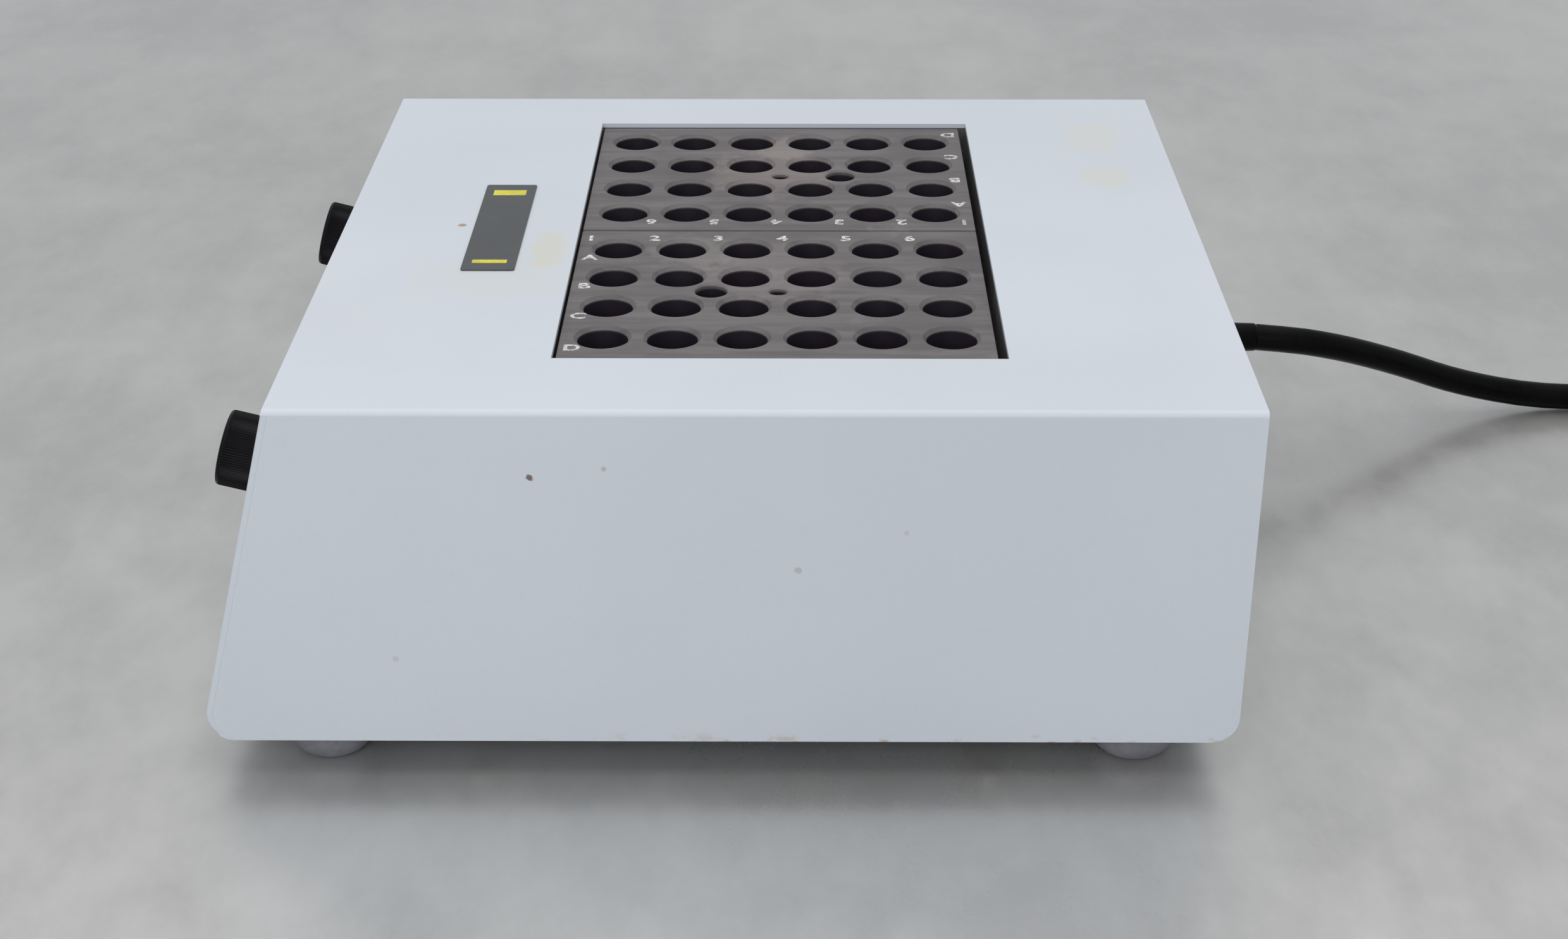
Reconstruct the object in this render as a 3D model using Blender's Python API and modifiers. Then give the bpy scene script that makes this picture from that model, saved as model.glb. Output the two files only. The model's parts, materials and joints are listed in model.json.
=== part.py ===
"""Two-block analogue dry block heater, as an assembly of named pieces.

Metres, +Z up. The heater stands on Z = 0 and the origin is under the middle of its case.
The sloping control panel faces -Y, the mains cord leaves the rear panel towards +Y,
and the two heating blocks lie side by side along X.
"""

import math

import bmesh
import bpy
from mathutils import Matrix, Vector

# ---- Fits, shared by every piece -----------------------------------------------------------------
GAP = 0.0003
SHEET = 0.0012

# ---- Case ----------------------------------------------------------------------------------------
CASE_WIDTH = 0.2032
CASE_TOP = 0.0889
SIDE_BOTTOM = 0.0092
CASE_REAR = 0.1124
FRONT_TOP = -0.0934
FRONT_SLOPE = math.radians(14.66)
CORNER_RADIUS = 0.007
FOLD_RADIUS = 0.002
FRONT_RETURN = 0.0014
REAR_RECESS = 0.0015
SIDE_RETURN_WIDTH = 0.022
SIDE_RETURN_FRONT = -0.072
SIDE_RETURN_REAR = 0.076
LABEL_CORNER = (-0.0305, -0.0620)
LABEL_SIZE = (0.0565, 0.0125)

# ---- Heating blocks ------------------------------------------------------------------------------
BLOCK_SIZE = Vector((0.0754, 0.09525, 0.0508))
BLOCK_RECESS = 0.0010
BLOCK_SEAM_X = -0.00285
BLOCK_CENTRE_Y = 0.0117
BLOCK_GAP = 0.0009
WELL_COLUMNS = 6
WELL_ROWS = 4
WELL_EDGE_X = 0.01154
WELL_EDGE_Y = 0.009425
WELL_RADIUS = 0.0056
WELL_DEPTH = 0.040
THERMOMETER_RADIUS = 0.0037
LIFTER_RADIUS = 0.00205
LIFTER_DEPTH = 0.013
OPENING_RIM_X = 0.0020
OPENING_FAR_RIM_X = 0.0007
OPENING_FRONT_RIM_Y = 0.0006
OPENING_REAR_RIM_Y = 0.0020

# ---- Heating chamber -----------------------------------------------------------------------------
CHAMBER_WALL = 0.0008
INSULATION_WALL = 0.009
PLATE_THICKNESS = 0.0053
PLATE_BORDER = 0.0035
MAT_THICKNESS = 0.0014
MAT_INSET = 0.008
PAD_THICKNESS = 0.0095
SUPPORT_WIDTH = 0.020
SUPPORT_LENGTH = 0.130
SUPPORT_SPACING = 0.056
CUTOFF_RADIUS = 0.008
SENSOR_RADIUS = 0.002
SENSOR_LENGTH = 0.055
SENSOR_PROUD = 0.012

# ---- Control panel: distances down the slope from its top edge -----------------------------------
KNOB_SPACING = 0.130
PANEL_CENTRE_X = 0.0022
KNOB_DOWN = 0.0286
KNOB_RADIUS = 0.0085
KNOB_PROUD = 0.0104
KNOB_EDGE = 0.0008
KNOB_LIFT = 0.0008
KNOB_RECESS_RADIUS = 0.0064
KNOB_RECESS_DEPTH = 0.0028
SHAFT_RADIUS = 0.002
BUSHING_RADIUS = 0.0035
BUSHING_PROUD = 0.0026
CONTROL_RADIUS = 0.011
CONTROL_DEPTH = 0.010
NUT_RADIUS = 0.0057
NUT_HEIGHT = 0.002
SWITCH_DOWN = 0.042
SWITCH_BODY = Vector((0.0128, 0.0228, 0.015))
SWITCH_BEZEL = 0.002
SWITCH_BEZEL_HEIGHT = 0.0015
SWITCH_WALL = 0.0012
SWITCH_WELL_SHARE = 0.75
ROCKER_PROUD = 0.0012
ROCKER_TILT = math.radians(9)
LAMP_X = 0.0300
LAMP_DOWN = 0.042
LAMP_RADIUS = 0.0032
LAMP_FLANGE = 0.0046

# ---- Feet and fasteners --------------------------------------------------------------------------
FOOT_RADIUS = 0.0102
FOOT_INSET = 0.0140
FOOT_FRONT_Y = -0.0880
FOOT_REAR_INSET = 0.0211
SCREW_RADIUS = 0.0019
SCREW_HEAD_RADIUS = 0.0036
SCREW_HEAD_HEIGHT = 0.0022
COVER_SCREW_INSET = 0.0131
COVER_SCREW_FRONT_Y = -0.055
COVER_SCREW_REAR_Y = 0.060

# ---- Electrics -----------------------------------------------------------------------------------
BOARD_SIZE = Vector((0.120, 0.048, 0.0016))
BOARD_CLEARANCE = 0.002375
STANDOFF_HEIGHT = 0.0047
STANDOFF_RADIUS = 0.0025
STANDOFF_INSET = 0.005
SINK_INSET = 0.020
SINK_FOOT = 0.014
SINK_HEIGHT = 0.022
SINK_WALL = 0.0015
SINK_ENDS = (-0.040, -0.012)
TRIAC_SIZE = (0.010, 0.0045, 0.015)
TRIAC_LIFT = 0.003
FUSE_RADIUS = 0.0032
FUSE_LENGTH = 0.020
FUSE_X = 0.040
FUSE_INSET = 0.010
TERMINAL_X = -0.058
TERMINAL_SIZE = Vector((0.030, 0.014, 0.0113))
TERMINAL_BACK = 0.0097
EARTH_SCREW_RADIUS = 0.003
EARTH_SCREW_HEIGHT = 0.007
EARTH_SCREW_X = -0.010
EARTH_SCREW_BACK = 0.0157
LEAD_RADIUS = 0.0015
SUPPLY_LEAD_INSET = 0.0061
SUPPLY_LEAD_LIFT = 0.0041
HEATER_LEAD_X = 0.050
VENT_SLOTS = 7
VENT_PITCH = 0.008
VENT_SIZE = Vector((0.003, 0.006, 0.026))
VENT_CENTRE = Vector((0.045, CASE_REAR, 0.050))

# ---- Mains cord ----------------------------------------------------------------------------------
CORD_DIAMETER = 0.0073
CORD_EXIT = Vector((-0.0689, 0.1429, 0.0310))
CORD_ROUTE = (
    (-0.0689, 0.1429, 0.0310),
    (-0.0690, 0.1564, 0.0296),
    (-0.0734, 0.1710, 0.0250),
    (-0.0791, 0.1864, 0.0185),
    (-0.0835, 0.2018, 0.0118),
    (-0.0868, 0.2170, 0.0069),
    (-0.0880, 0.2315, 0.0044),
    (-0.0882, 0.2490, 0.0039),
    (-0.0882, 0.2755, 0.0039),
)
COIL_CENTRE = Vector((-0.0413, 0.304, 0.0))
COIL_MEAN_RADIUS = 0.0396
COIL_ROWS = 3
COIL_LAYERS = 2
TAIL_ROUTE = (
    (-0.0130, 0.3507, 0.0108),
    (0.0010, 0.3500, 0.0108),
    (0.0150, 0.3491, 0.0118),
    (0.0270, 0.3490, 0.0120),
)
STRAIN_RELIEF_RADIUS = 0.0048
STRAIN_RELIEF_INSIDE = 0.0075
PLUG_LENGTH = 0.036
PLUG_NOSE = 0.014
PLUG_WIDTH = 0.026
PLUG_HEIGHT = 0.0236
BLADE_SPACING = 0.0127
BLADE_SIZE = Vector((0.0178, 0.0015, 0.0063))
EARTH_PIN_RADIUS = 0.0024
EARTH_PIN_LENGTH = 0.0214
EARTH_PIN_DROP = 0.0119
TIE_WIDTH = 0.010
TIE_THICKNESS = 0.001

# ---- Worked out from the dimensions above --------------------------------------------------------
HALF_WIDTH = CASE_WIDTH / 2
INSIDE_HALF_WIDTH = HALF_WIDTH - SHEET - GAP
INSIDE_TOP = CASE_TOP - SHEET - GAP
FLOOR_TOP = SIDE_BOTTOM + SHEET + GAP
BLOCK_TOP = CASE_TOP - BLOCK_RECESS
BLOCK_BOTTOM = BLOCK_TOP - BLOCK_SIZE.z
BLOCK_STEP = BLOCK_SIZE.x + BLOCK_GAP
WELL_ROW_PITCH = (BLOCK_SIZE.x - WELL_EDGE_X * 2) / (WELL_ROWS - 1)
WELL_COLUMN_PITCH = (BLOCK_SIZE.y - WELL_EDGE_Y * 2) / (WELL_COLUMNS - 1)
OPENING_LOW = Vector((BLOCK_SEAM_X - BLOCK_STEP + BLOCK_GAP / 2 - OPENING_FAR_RIM_X,
                      BLOCK_CENTRE_Y - BLOCK_SIZE.y / 2 - OPENING_FRONT_RIM_Y))
OPENING_HIGH = Vector((BLOCK_SEAM_X + BLOCK_STEP - BLOCK_GAP / 2 + OPENING_RIM_X,
                       BLOCK_CENTRE_Y + BLOCK_SIZE.y / 2 + OPENING_REAR_RIM_Y))
PLATE_TOP = BLOCK_BOTTOM - GAP
PLATE_BOTTOM = PLATE_TOP - PLATE_THICKNESS
MAT_BOTTOM = PLATE_BOTTOM - GAP - MAT_THICKNESS
PAD_BOTTOM = MAT_BOTTOM - GAP - PAD_THICKNESS
CHAMBER_FRONT = OPENING_LOW.y - PLATE_BORDER - INSULATION_WALL - GAP * 2
BOARD_HIGH = Vector((BOARD_SIZE.x / 2, CHAMBER_FRONT - BOARD_CLEARANCE,
                     FLOOR_TOP + STANDOFF_HEIGHT + GAP + BOARD_SIZE.z))
BOARD_LOW = BOARD_HIGH - BOARD_SIZE
SINK_FRONT = BOARD_HIGH.y - SINK_INSET
FUSE_Y = BOARD_LOW.y + FUSE_INSET
REAR_WALL = CASE_REAR - REAR_RECESS - SHEET
TERMINAL_HIGH = Vector((TERMINAL_X + TERMINAL_SIZE.x, REAR_WALL - TERMINAL_BACK, FLOOR_TOP + TERMINAL_SIZE.z))
TERMINAL_LOW = TERMINAL_HIGH - TERMINAL_SIZE
FOOT_X = HALF_WIDTH - FOOT_INSET
FOOT_REAR_Y = CASE_REAR - FOOT_REAR_INSET
COVER_SCREW_X = HALF_WIDTH - COVER_SCREW_INSET
COIL_OUTER = COIL_MEAN_RADIUS + COIL_ROWS * CORD_DIAMETER / 2
COIL_INNER = COIL_MEAN_RADIUS - COIL_ROWS * CORD_DIAMETER / 2

PARTS = "dry_block_heater"
CUTTERS = "cutters"


# ---- Scene and materials -------------------------------------------------------------------------

def clear_scene():
    for obj in list(bpy.data.objects):
        bpy.data.objects.remove(obj, do_unlink=True)
    for name in (PARTS, CUTTERS):
        collection = bpy.data.collections.new(name)
        bpy.context.scene.collection.children.link(collection)
    bpy.context.scene.unit_settings.scale_length = 1.0


def material(name, colour, roughness, metallic=0.0):
    made = bpy.data.materials.get(name)
    if made:
        return made
    made = bpy.data.materials.new(name)
    made.use_nodes = True
    shader = made.node_tree.nodes["Principled BSDF"]
    shader.inputs["Base Color"].default_value = (*colour, 1)
    shader.inputs["Roughness"].default_value = roughness
    shader.inputs["Metallic"].default_value = metallic
    return made


def case_paint():
    return material("case_paint", (0.66, 0.69, 0.73), 0.42)


def anodised_block():
    return material("anodised_block", (0.16, 0.15, 0.155), 0.5, 0.4)


def black_plastic():
    return material("black_plastic", (0.012, 0.012, 0.014), 0.4)


def grey_rubber():
    return material("grey_rubber", (0.09, 0.09, 0.10), 0.75)


def zinc_steel():
    return material("zinc_steel", (0.55, 0.55, 0.56), 0.35, 1.0)


def bare_aluminium():
    return material("bare_aluminium", (0.72, 0.73, 0.74), 0.38, 1.0)


def brass():
    return material("brass", (0.78, 0.58, 0.26), 0.3, 1.0)


def insulation_wool():
    return material("insulation_wool", (0.80, 0.77, 0.66), 0.95)


def silicone_mat():
    return material("silicone_mat", (0.55, 0.14, 0.08), 0.6)


def cord_jacket():
    return material("cord_jacket", (0.010, 0.010, 0.011), 0.45)


def board_laminate():
    return material("board_laminate", (0.02, 0.16, 0.06), 0.45)


def amber_lens():
    return material("amber_lens", (0.75, 0.22, 0.02), 0.15)


def label_film():
    return material("label_film", (0.12, 0.12, 0.12), 0.4)


# ---- Building blocks -----------------------------------------------------------------------------

def place(name, mesh, finish, parent=None, location=(0, 0, 0), rotation=(0, 0, 0)):
    """Link a mesh as a named piece, in its parent's coordinates."""
    obj = bpy.data.objects.new(name, mesh)
    bpy.data.collections[PARTS].objects.link(obj)
    mesh.materials.clear()
    mesh.materials.append(finish)
    obj.parent = parent
    obj.location = location
    obj.rotation_euler = rotation
    mesh.shade_smooth()
    mesh.set_sharp_from_angle(angle=math.radians(35))
    return obj


def as_cutter(obj):
    bpy.data.collections[PARTS].objects.unlink(obj)
    bpy.data.collections[CUTTERS].objects.link(obj)
    obj.hide_render = True
    obj.display_type = "WIRE"
    return obj


def boolean(obj, other, operation):
    modifier = obj.modifiers.new(f"{operation.lower()}_{other.name}"[:60], "BOOLEAN")
    modifier.operation = operation
    modifier.solver = "EXACT"
    modifier.object = as_cutter(other)


def cut(obj, *others):
    for other in others:
        boolean(obj, other, "DIFFERENCE")


def unite(obj, *others):
    for other in others:
        boolean(obj, other, "UNION")


def mesh_from(shape, name):
    mesh = bpy.data.meshes.new(name)
    shape.to_mesh(mesh)
    shape.free()
    return mesh


def add_box(shape, low, high):
    low, high = Vector(low), Vector(high)
    matrix = Matrix.Translation((low + high) / 2) @ Matrix.Diagonal((*(high - low), 1))
    return bmesh.ops.create_cube(shape, size=1, matrix=matrix)["verts"]


def add_rod(shape, radius, low, high, x=0.0, y=0.0, sides=16):
    """A cylinder along Z from low to high."""
    bmesh.ops.create_cone(shape, cap_ends=True, segments=sides, radius1=radius, radius2=radius,
                          depth=high - low, matrix=Matrix.Translation((x, y, (low + high) / 2)))


def box(name, low, high, finish, parent=None, bevel=0.0, **placing):
    shape = bmesh.new()
    add_box(shape, low, high)
    if bevel:
        bmesh.ops.bevel(shape, geom=shape.edges[:], offset=bevel, segments=1, affect="EDGES")
    return place(name, mesh_from(shape, name), finish, parent, **placing)


def rod(name, radius, low, high, finish, parent=None, sides=16, x=0.0, y=0.0, **placing):
    shape = bmesh.new()
    add_rod(shape, radius, low, high, x, y, sides)
    return place(name, mesh_from(shape, name), finish, parent, **placing)


def turned(name, profile, finish, parent=None, steps=16, **placing):
    """Turn (radius, height) points, given top to bottom down the outer side, about local Z."""
    shape = bmesh.new()
    points = [shape.verts.new((radius, 0, height)) for radius, height in profile]
    closed = all(radius > 0 for radius, _ in profile)
    for first, second in zip(points, points[1:] + points[:1] if closed else points[1:]):
        shape.edges.new((first, second))
    obj = place(name, mesh_from(shape, name), finish, parent, **placing)
    screw = obj.modifiers.new("turn", "SCREW")
    screw.steps = steps
    screw.render_steps = steps
    screw.use_merge_vertices = True
    screw.merge_threshold = 0.00001
    screw.use_smooth_shade = True
    return obj


def arc(centre, radius, start, end, steps):
    angles = [start + (end - start) * step / steps for step in range(steps + 1)]
    return [(centre[0] + radius * math.cos(a), centre[1] + radius * math.sin(a)) for a in angles]


def prism(name, outline, low, high, finish):
    """A flat (y, z) outline filled and drawn out along X from low to high."""
    curve = bpy.data.curves.new(name, "CURVE")
    curve.dimensions = "2D"
    curve.fill_mode = "BOTH"
    curve.extrude = (high - low) / 2
    spline = curve.splines.new("POLY")
    spline.points.add(len(outline) - 1)
    for point, (y, z) in zip(spline.points, outline):
        point.co = (y, z, 0, 1)
    spline.use_cyclic_u = True
    guide = bpy.data.objects.new(name, curve)
    bpy.context.scene.collection.objects.link(guide)
    graph = bpy.context.evaluated_depsgraph_get()
    mesh = bpy.data.meshes.new_from_object(guide.evaluated_get(graph))
    bpy.data.objects.remove(guide, do_unlink=True)
    shape = bmesh.new()
    shape.from_mesh(mesh)
    bmesh.ops.remove_doubles(shape, verts=shape.verts[:], dist=0.00001)
    upright = Matrix(((0, 0, 1, (low + high) / 2), (1, 0, 0, 0), (0, 1, 0, 0), (0, 0, 0, 1)))
    shape.transform(upright)
    bmesh.ops.recalc_face_normals(shape, faces=shape.faces[:])
    if shape.calc_volume(signed=True) < 0:
        bmesh.ops.reverse_faces(shape, faces=shape.faces[:])
    shape.normal_update()
    bmesh.ops.dissolve_limit(shape, angle_limit=0.001, verts=shape.verts[:], edges=shape.edges[:])
    shape.to_mesh(mesh)
    shape.free()
    return place(name, mesh, finish)


def round_edges(obj, chosen, radius, segments=3):
    """Bevel the lengthwise edges on one side of a mesh whose two ends both satisfy chosen(point)."""
    shape = bmesh.new()
    shape.from_mesh(obj.data)
    edges = [edge for edge in shape.edges
             if all(chosen(vert.co) for vert in edge.verts)
             and abs(edge.verts[0].co.x - edge.verts[1].co.x) < GAP]
    bmesh.ops.bevel(shape, geom=edges, offset=radius, segments=segments, affect="EDGES", profile=0.5)
    shape.to_mesh(obj.data)
    shape.free()


def smooth_route(points, step):
    """Points every step metres or so along a smooth curve through the given ones."""
    points = [Vector(point) for point in points]
    ends = [2 * points[0] - points[1], *points, 2 * points[-1] - points[-2]]
    route = []
    for before, start, end, after in zip(ends, ends[1:], ends[2:], ends[3:]):
        pieces = max(1, round((end - start).length / step))
        for piece in range(pieces):
            t = piece / pieces
            route.append(0.5 * (2 * start + (end - before) * t
                                + (2 * before - 5 * start + 4 * end - after) * t * t
                                + (3 * start - before - 3 * end + after) * t ** 3))
    return [*route, points[-1]]


def tube(name, points, radius, finish, resolution=2):
    curve = bpy.data.curves.new(name, "CURVE")
    curve.dimensions = "3D"
    curve.bevel_depth = radius
    curve.bevel_resolution = resolution
    curve.use_fill_caps = True
    spline = curve.splines.new("POLY")
    spline.points.add(len(points) - 1)
    for point, place_at in zip(spline.points, points):
        point.co = (*place_at, 1)
    curve.materials.append(finish)
    obj = bpy.data.objects.new(name, curve)
    bpy.data.collections[PARTS].objects.link(obj)
    return obj


# ---- Case ----------------------------------------------------------------------------------------

def front_y(height):
    """The sloping front plane's Y at a height."""
    return FRONT_TOP - (CASE_TOP - height) * math.tan(FRONT_SLOPE)


def front_bend(inset):
    """Centre and end angles of the bend between the sloping front and the floor."""
    slope = math.tan(FRONT_SLOPE)
    centre_z = SIDE_BOTTOM + CORNER_RADIUS
    centre_y = front_y(centre_z) + inset + CORNER_RADIUS * math.sqrt(1 + slope * slope)
    return (centre_y, centre_z), math.pi - FRONT_SLOPE, 1.5 * math.pi


def cover_outline():
    """The case seen from the side: the top sheet overhangs the front panel's folded edge."""
    set_back = (FRONT_RETURN + GAP) / math.cos(FRONT_SLOPE)
    under_top = CASE_TOP - SHEET
    centre, start, end = front_bend(set_back)
    rear_centre = (CASE_REAR - CORNER_RADIUS, SIDE_BOTTOM + CORNER_RADIUS)
    return [
        (FRONT_TOP, CASE_TOP),
        (front_y(under_top), under_top),
        (front_y(under_top) + set_back, under_top),
        *arc(centre, CORNER_RADIUS, start, end, 5),
        *arc(rear_centre, CORNER_RADIUS, 1.5 * math.pi, 2 * math.pi, 4),
        (CASE_REAR, CASE_TOP),
    ]


def cover_screw_places():
    return [(x, y) for x in (-COVER_SCREW_X, COVER_SCREW_X)
            for y in (COVER_SCREW_FRONT_Y, COVER_SCREW_REAR_Y)]


def foot_places():
    return [(f"{end}_{side}", x, y)
            for end, y in (("front", FOOT_FRONT_Y), ("rear", FOOT_REAR_Y))
            for side, x in (("left", -FOOT_X), ("right", FOOT_X))]


def hole_cutter(name, radius, places, low, high, sides=12):
    shape = bmesh.new()
    for x, y in places:
        add_rod(shape, radius, low, high, x, y, sides)
    return place(name, mesh_from(shape, name), zinc_steel())


def top_cover():
    cover = prism("top_cover", cover_outline(), -HALF_WIDTH, HALF_WIDTH, case_paint())
    round_edges(cover, lambda p: p.z > CASE_TOP - GAP and abs(p.x) > HALF_WIDTH - GAP, FOLD_RADIUS)
    inside = HALF_WIDTH - SHEET
    hollow = box("cover_hollow", (-inside, -CASE_WIDTH, 0), (inside, CASE_WIDTH, CASE_TOP - SHEET),
                 case_paint())
    cut(cover, hollow)
    for side, sign in (("left", -1), ("right", 1)):
        ends = sorted((sign * (HALF_WIDTH - SHEET / 2), sign * (HALF_WIDTH - SIDE_RETURN_WIDTH)))
        unite(cover, box(f"{side}_return", (ends[0], SIDE_RETURN_FRONT, FLOOR_TOP),
                         (ends[1], SIDE_RETURN_REAR, FLOOR_TOP + SHEET), case_paint()))
    opening = box("top_opening", (*OPENING_LOW, INSIDE_TOP - SHEET), (*OPENING_HIGH, CASE_TOP + SHEET),
                  case_paint())
    screws = hole_cutter("cover_return_holes", SCREW_RADIUS + GAP, cover_screw_places(),
                         SIDE_BOTTOM, BLOCK_BOTTOM)
    cut(cover, opening, screws)
    return cover


def chassis_path():
    """Outer line of the bent sheet: rear wall, floor and sloping front, from rear top to front top."""
    centre, start, end = front_bend(0)
    rear = CASE_REAR - REAR_RECESS
    rear_centre = (rear - CORNER_RADIUS, SIDE_BOTTOM + CORNER_RADIUS)
    return [
        (rear, INSIDE_TOP),
        *arc(rear_centre, CORNER_RADIUS, 2 * math.pi, 1.5 * math.pi, 4),
        *arc(centre, CORNER_RADIUS, end, start, 5),
        (front_y(INSIDE_TOP), INSIDE_TOP),
    ]


def front_band(depth):
    """Outline of the front panel's folded side edge, depth deep behind the sloping face."""
    centre, start, end = front_bend(0)
    set_back = depth / math.cos(FRONT_SLOPE)
    behind = (centre[0] + set_back, centre[1])
    tip = end - math.radians(12)
    return [
        (front_y(INSIDE_TOP), INSIDE_TOP),
        *arc(centre, CORNER_RADIUS, start, end, 5),
        *arc(behind, CORNER_RADIUS, tip, start, 5),
        (front_y(INSIDE_TOP) + set_back, INSIDE_TOP),
    ]


def vent_slots():
    shape = bmesh.new()
    for slot in range(VENT_SLOTS):
        centre = VENT_CENTRE + Vector(((slot - (VENT_SLOTS - 1) / 2) * VENT_PITCH, 0, 0))
        add_box(shape, centre - VENT_SIZE / 2, centre + VENT_SIZE / 2)
    return place("vent_slots", mesh_from(shape, "vent_slots"), zinc_steel())


def panel_holes(panel):
    shape = bmesh.new()
    reach = SWITCH_BODY.z
    for x in (-KNOB_SPACING / 2, KNOB_SPACING / 2):
        add_rod(shape, BUSHING_RADIUS + GAP, -reach, reach, PANEL_CENTRE_X + x, -KNOB_DOWN, 12)
    add_rod(shape, LAMP_RADIUS + GAP, -reach, reach, LAMP_X, -LAMP_DOWN, 12)
    room = Vector((SWITCH_BODY.x / 2 + GAP, SWITCH_BODY.y / 2 + GAP, reach))
    centre = Vector((PANEL_CENTRE_X, -SWITCH_DOWN, 0))
    add_box(shape, centre - room, centre + room)
    return place("panel_holes", mesh_from(shape, "panel_holes"), zinc_steel(), panel)


def base_chassis(panel):
    shape = bmesh.new()
    rows = [[shape.verts.new((x, y, z)) for y, z in chassis_path()]
            for x in (-INSIDE_HALF_WIDTH, INSIDE_HALF_WIDTH)]
    for left, right, next_left, next_right in zip(rows[0], rows[1], rows[0][1:], rows[1][1:]):
        shape.faces.new((left, right, next_right, next_left))
    chassis = place("base_chassis", mesh_from(shape, "base_chassis"), case_paint())
    shell = chassis.modifiers.new("sheet", "SOLIDIFY")
    shell.thickness = SHEET
    shell.offset = -1.0
    shell.use_even_offset = True
    for side, sign in (("left", -1), ("right", 1)):
        ends = sorted((sign * HALF_WIDTH, sign * (INSIDE_HALF_WIDTH - SHEET)))
        fold = prism(f"{side}_front_fold", front_band(FRONT_RETURN), *ends, case_paint())
        edge = sign * HALF_WIDTH
        round_edges(fold, lambda p, edge=edge: abs(p.x - edge) < GAP and on_front(p), SHEET / 2)
        unite(chassis, fold)
    above = FLOOR_TOP + SHEET
    feet = hole_cutter("foot_holes", SCREW_RADIUS + GAP, [(x, y) for _, x, y in foot_places()], 0, above)
    screws = hole_cutter("cover_holes", SCREW_RADIUS + GAP, cover_screw_places(), 0, above)
    reach = REAR_RECESS + SHEET * 3
    relief = rod("relief_hole", STRAIN_RELIEF_RADIUS + GAP, -reach, reach, zinc_steel(),
                 location=(CORD_EXIT.x, CASE_REAR, CORD_EXIT.z), rotation=(math.pi / 2, 0, 0))
    cut(chassis, feet, screws, relief, vent_slots(), panel_holes(panel))
    return chassis


def on_front(point):
    """True on the outer line of the front fold."""
    return point.y < front_y(point.z) + GAP or point.z < SIDE_BOTTOM + GAP


def feet():
    for name, x, y in foot_places():
        inside = SCREW_RADIUS + GAP
        recess = SCREW_HEAD_RADIUS + GAP
        top = SIDE_BOTTOM - GAP
        seat = top / 2 + GAP
        profile = [(FOOT_RADIUS * 0.97, top), (FOOT_RADIUS, top * 0.82), (FOOT_RADIUS * 0.94, top * 0.45),
                   (FOOT_RADIUS * 0.81, top * 0.15), (FOOT_RADIUS * 0.62, 0.0), (recess, 0.0),
                   (recess, seat), (inside, seat), (inside, top)]
        turned(f"foot_{name}", profile, grey_rubber(), location=(x, y, 0))
        head = seat - GAP
        screw(f"foot_screw_{name}", head - SCREW_HEAD_HEIGHT, FLOOR_TOP + SHEET, x, y)


def screw(name, low, tip, x, y):
    """A pan-head screw whose head faces down."""
    shoulder = low + SCREW_HEAD_HEIGHT
    profile = [(0, tip), (SCREW_RADIUS, tip), (SCREW_RADIUS, shoulder), (SCREW_HEAD_RADIUS, shoulder),
               (SCREW_HEAD_RADIUS * 0.8, low), (0, low)]
    return turned(name, profile, zinc_steel(), steps=12, location=(x, y, 0))


def cover_screws():
    for number, (x, y) in enumerate(cover_screw_places(), 1):
        screw(f"cover_screw_{number}", SIDE_BOTTOM - GAP - SCREW_HEAD_HEIGHT, FLOOR_TOP + SHEET * 3, x, y)


def caution_label():
    low = Vector((*LABEL_CORNER, CASE_TOP + GAP / 3))
    return box("caution_label", low, low + Vector((*LABEL_SIZE, GAP)), label_film())


# ---- Heating blocks ------------------------------------------------------------------------------

def well_centres():
    """Well centres about the middle of a block, rows along X and columns along Y."""
    row_middle = (WELL_ROWS - 1) / 2
    column_middle = (WELL_COLUMNS - 1) / 2
    return [((row - row_middle) * WELL_ROW_PITCH, (column - column_middle) * WELL_COLUMN_PITCH)
            for row in range(WELL_ROWS) for column in range(WELL_COLUMNS)]


def heating_block(name, side):
    """One drilled block, side +1 right of the seam and -1 left of it, turned half way round."""
    centre = (BLOCK_SEAM_X + side * BLOCK_STEP / 2, BLOCK_CENTRE_Y, BLOCK_BOTTOM)
    turn = (0, 0, 0 if side > 0 else math.pi)
    half = BLOCK_SIZE / 2
    block = box(name, (-half.x, -half.y, 0), (half.x, half.y, BLOCK_SIZE.z), anodised_block(),
                location=centre, rotation=turn)
    shape = bmesh.new()
    above = BLOCK_SIZE.z + WELL_RADIUS
    for x, y in well_centres():
        add_rod(shape, WELL_RADIUS, BLOCK_SIZE.z - WELL_DEPTH, above, x, y, 14)
    add_rod(shape, THERMOMETER_RADIUS, BLOCK_SIZE.z - WELL_DEPTH, above, 0, -WELL_COLUMN_PITCH, 10)
    add_rod(shape, LIFTER_RADIUS, BLOCK_SIZE.z - LIFTER_DEPTH, above, 0, 0, 8)
    wells = place(f"{name}_wells", mesh_from(shape, f"{name}_wells"), anodised_block(),
                  location=centre, rotation=turn)
    cut(block, wells)
    return block


# ---- Heating chamber -----------------------------------------------------------------------------

def ring_box(name, low, high, wall, finish):
    """A rectangular sleeve, open above and below, whose inner faces stand at low and high."""
    outer = box(name, (low.x - wall, low.y - wall, low.z), (high.x + wall, high.y + wall, high.z), finish)
    reach = Vector((0, 0, wall))
    cut(outer, box(f"{name}_inside", low - reach, high + reach, finish))
    return outer


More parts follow.
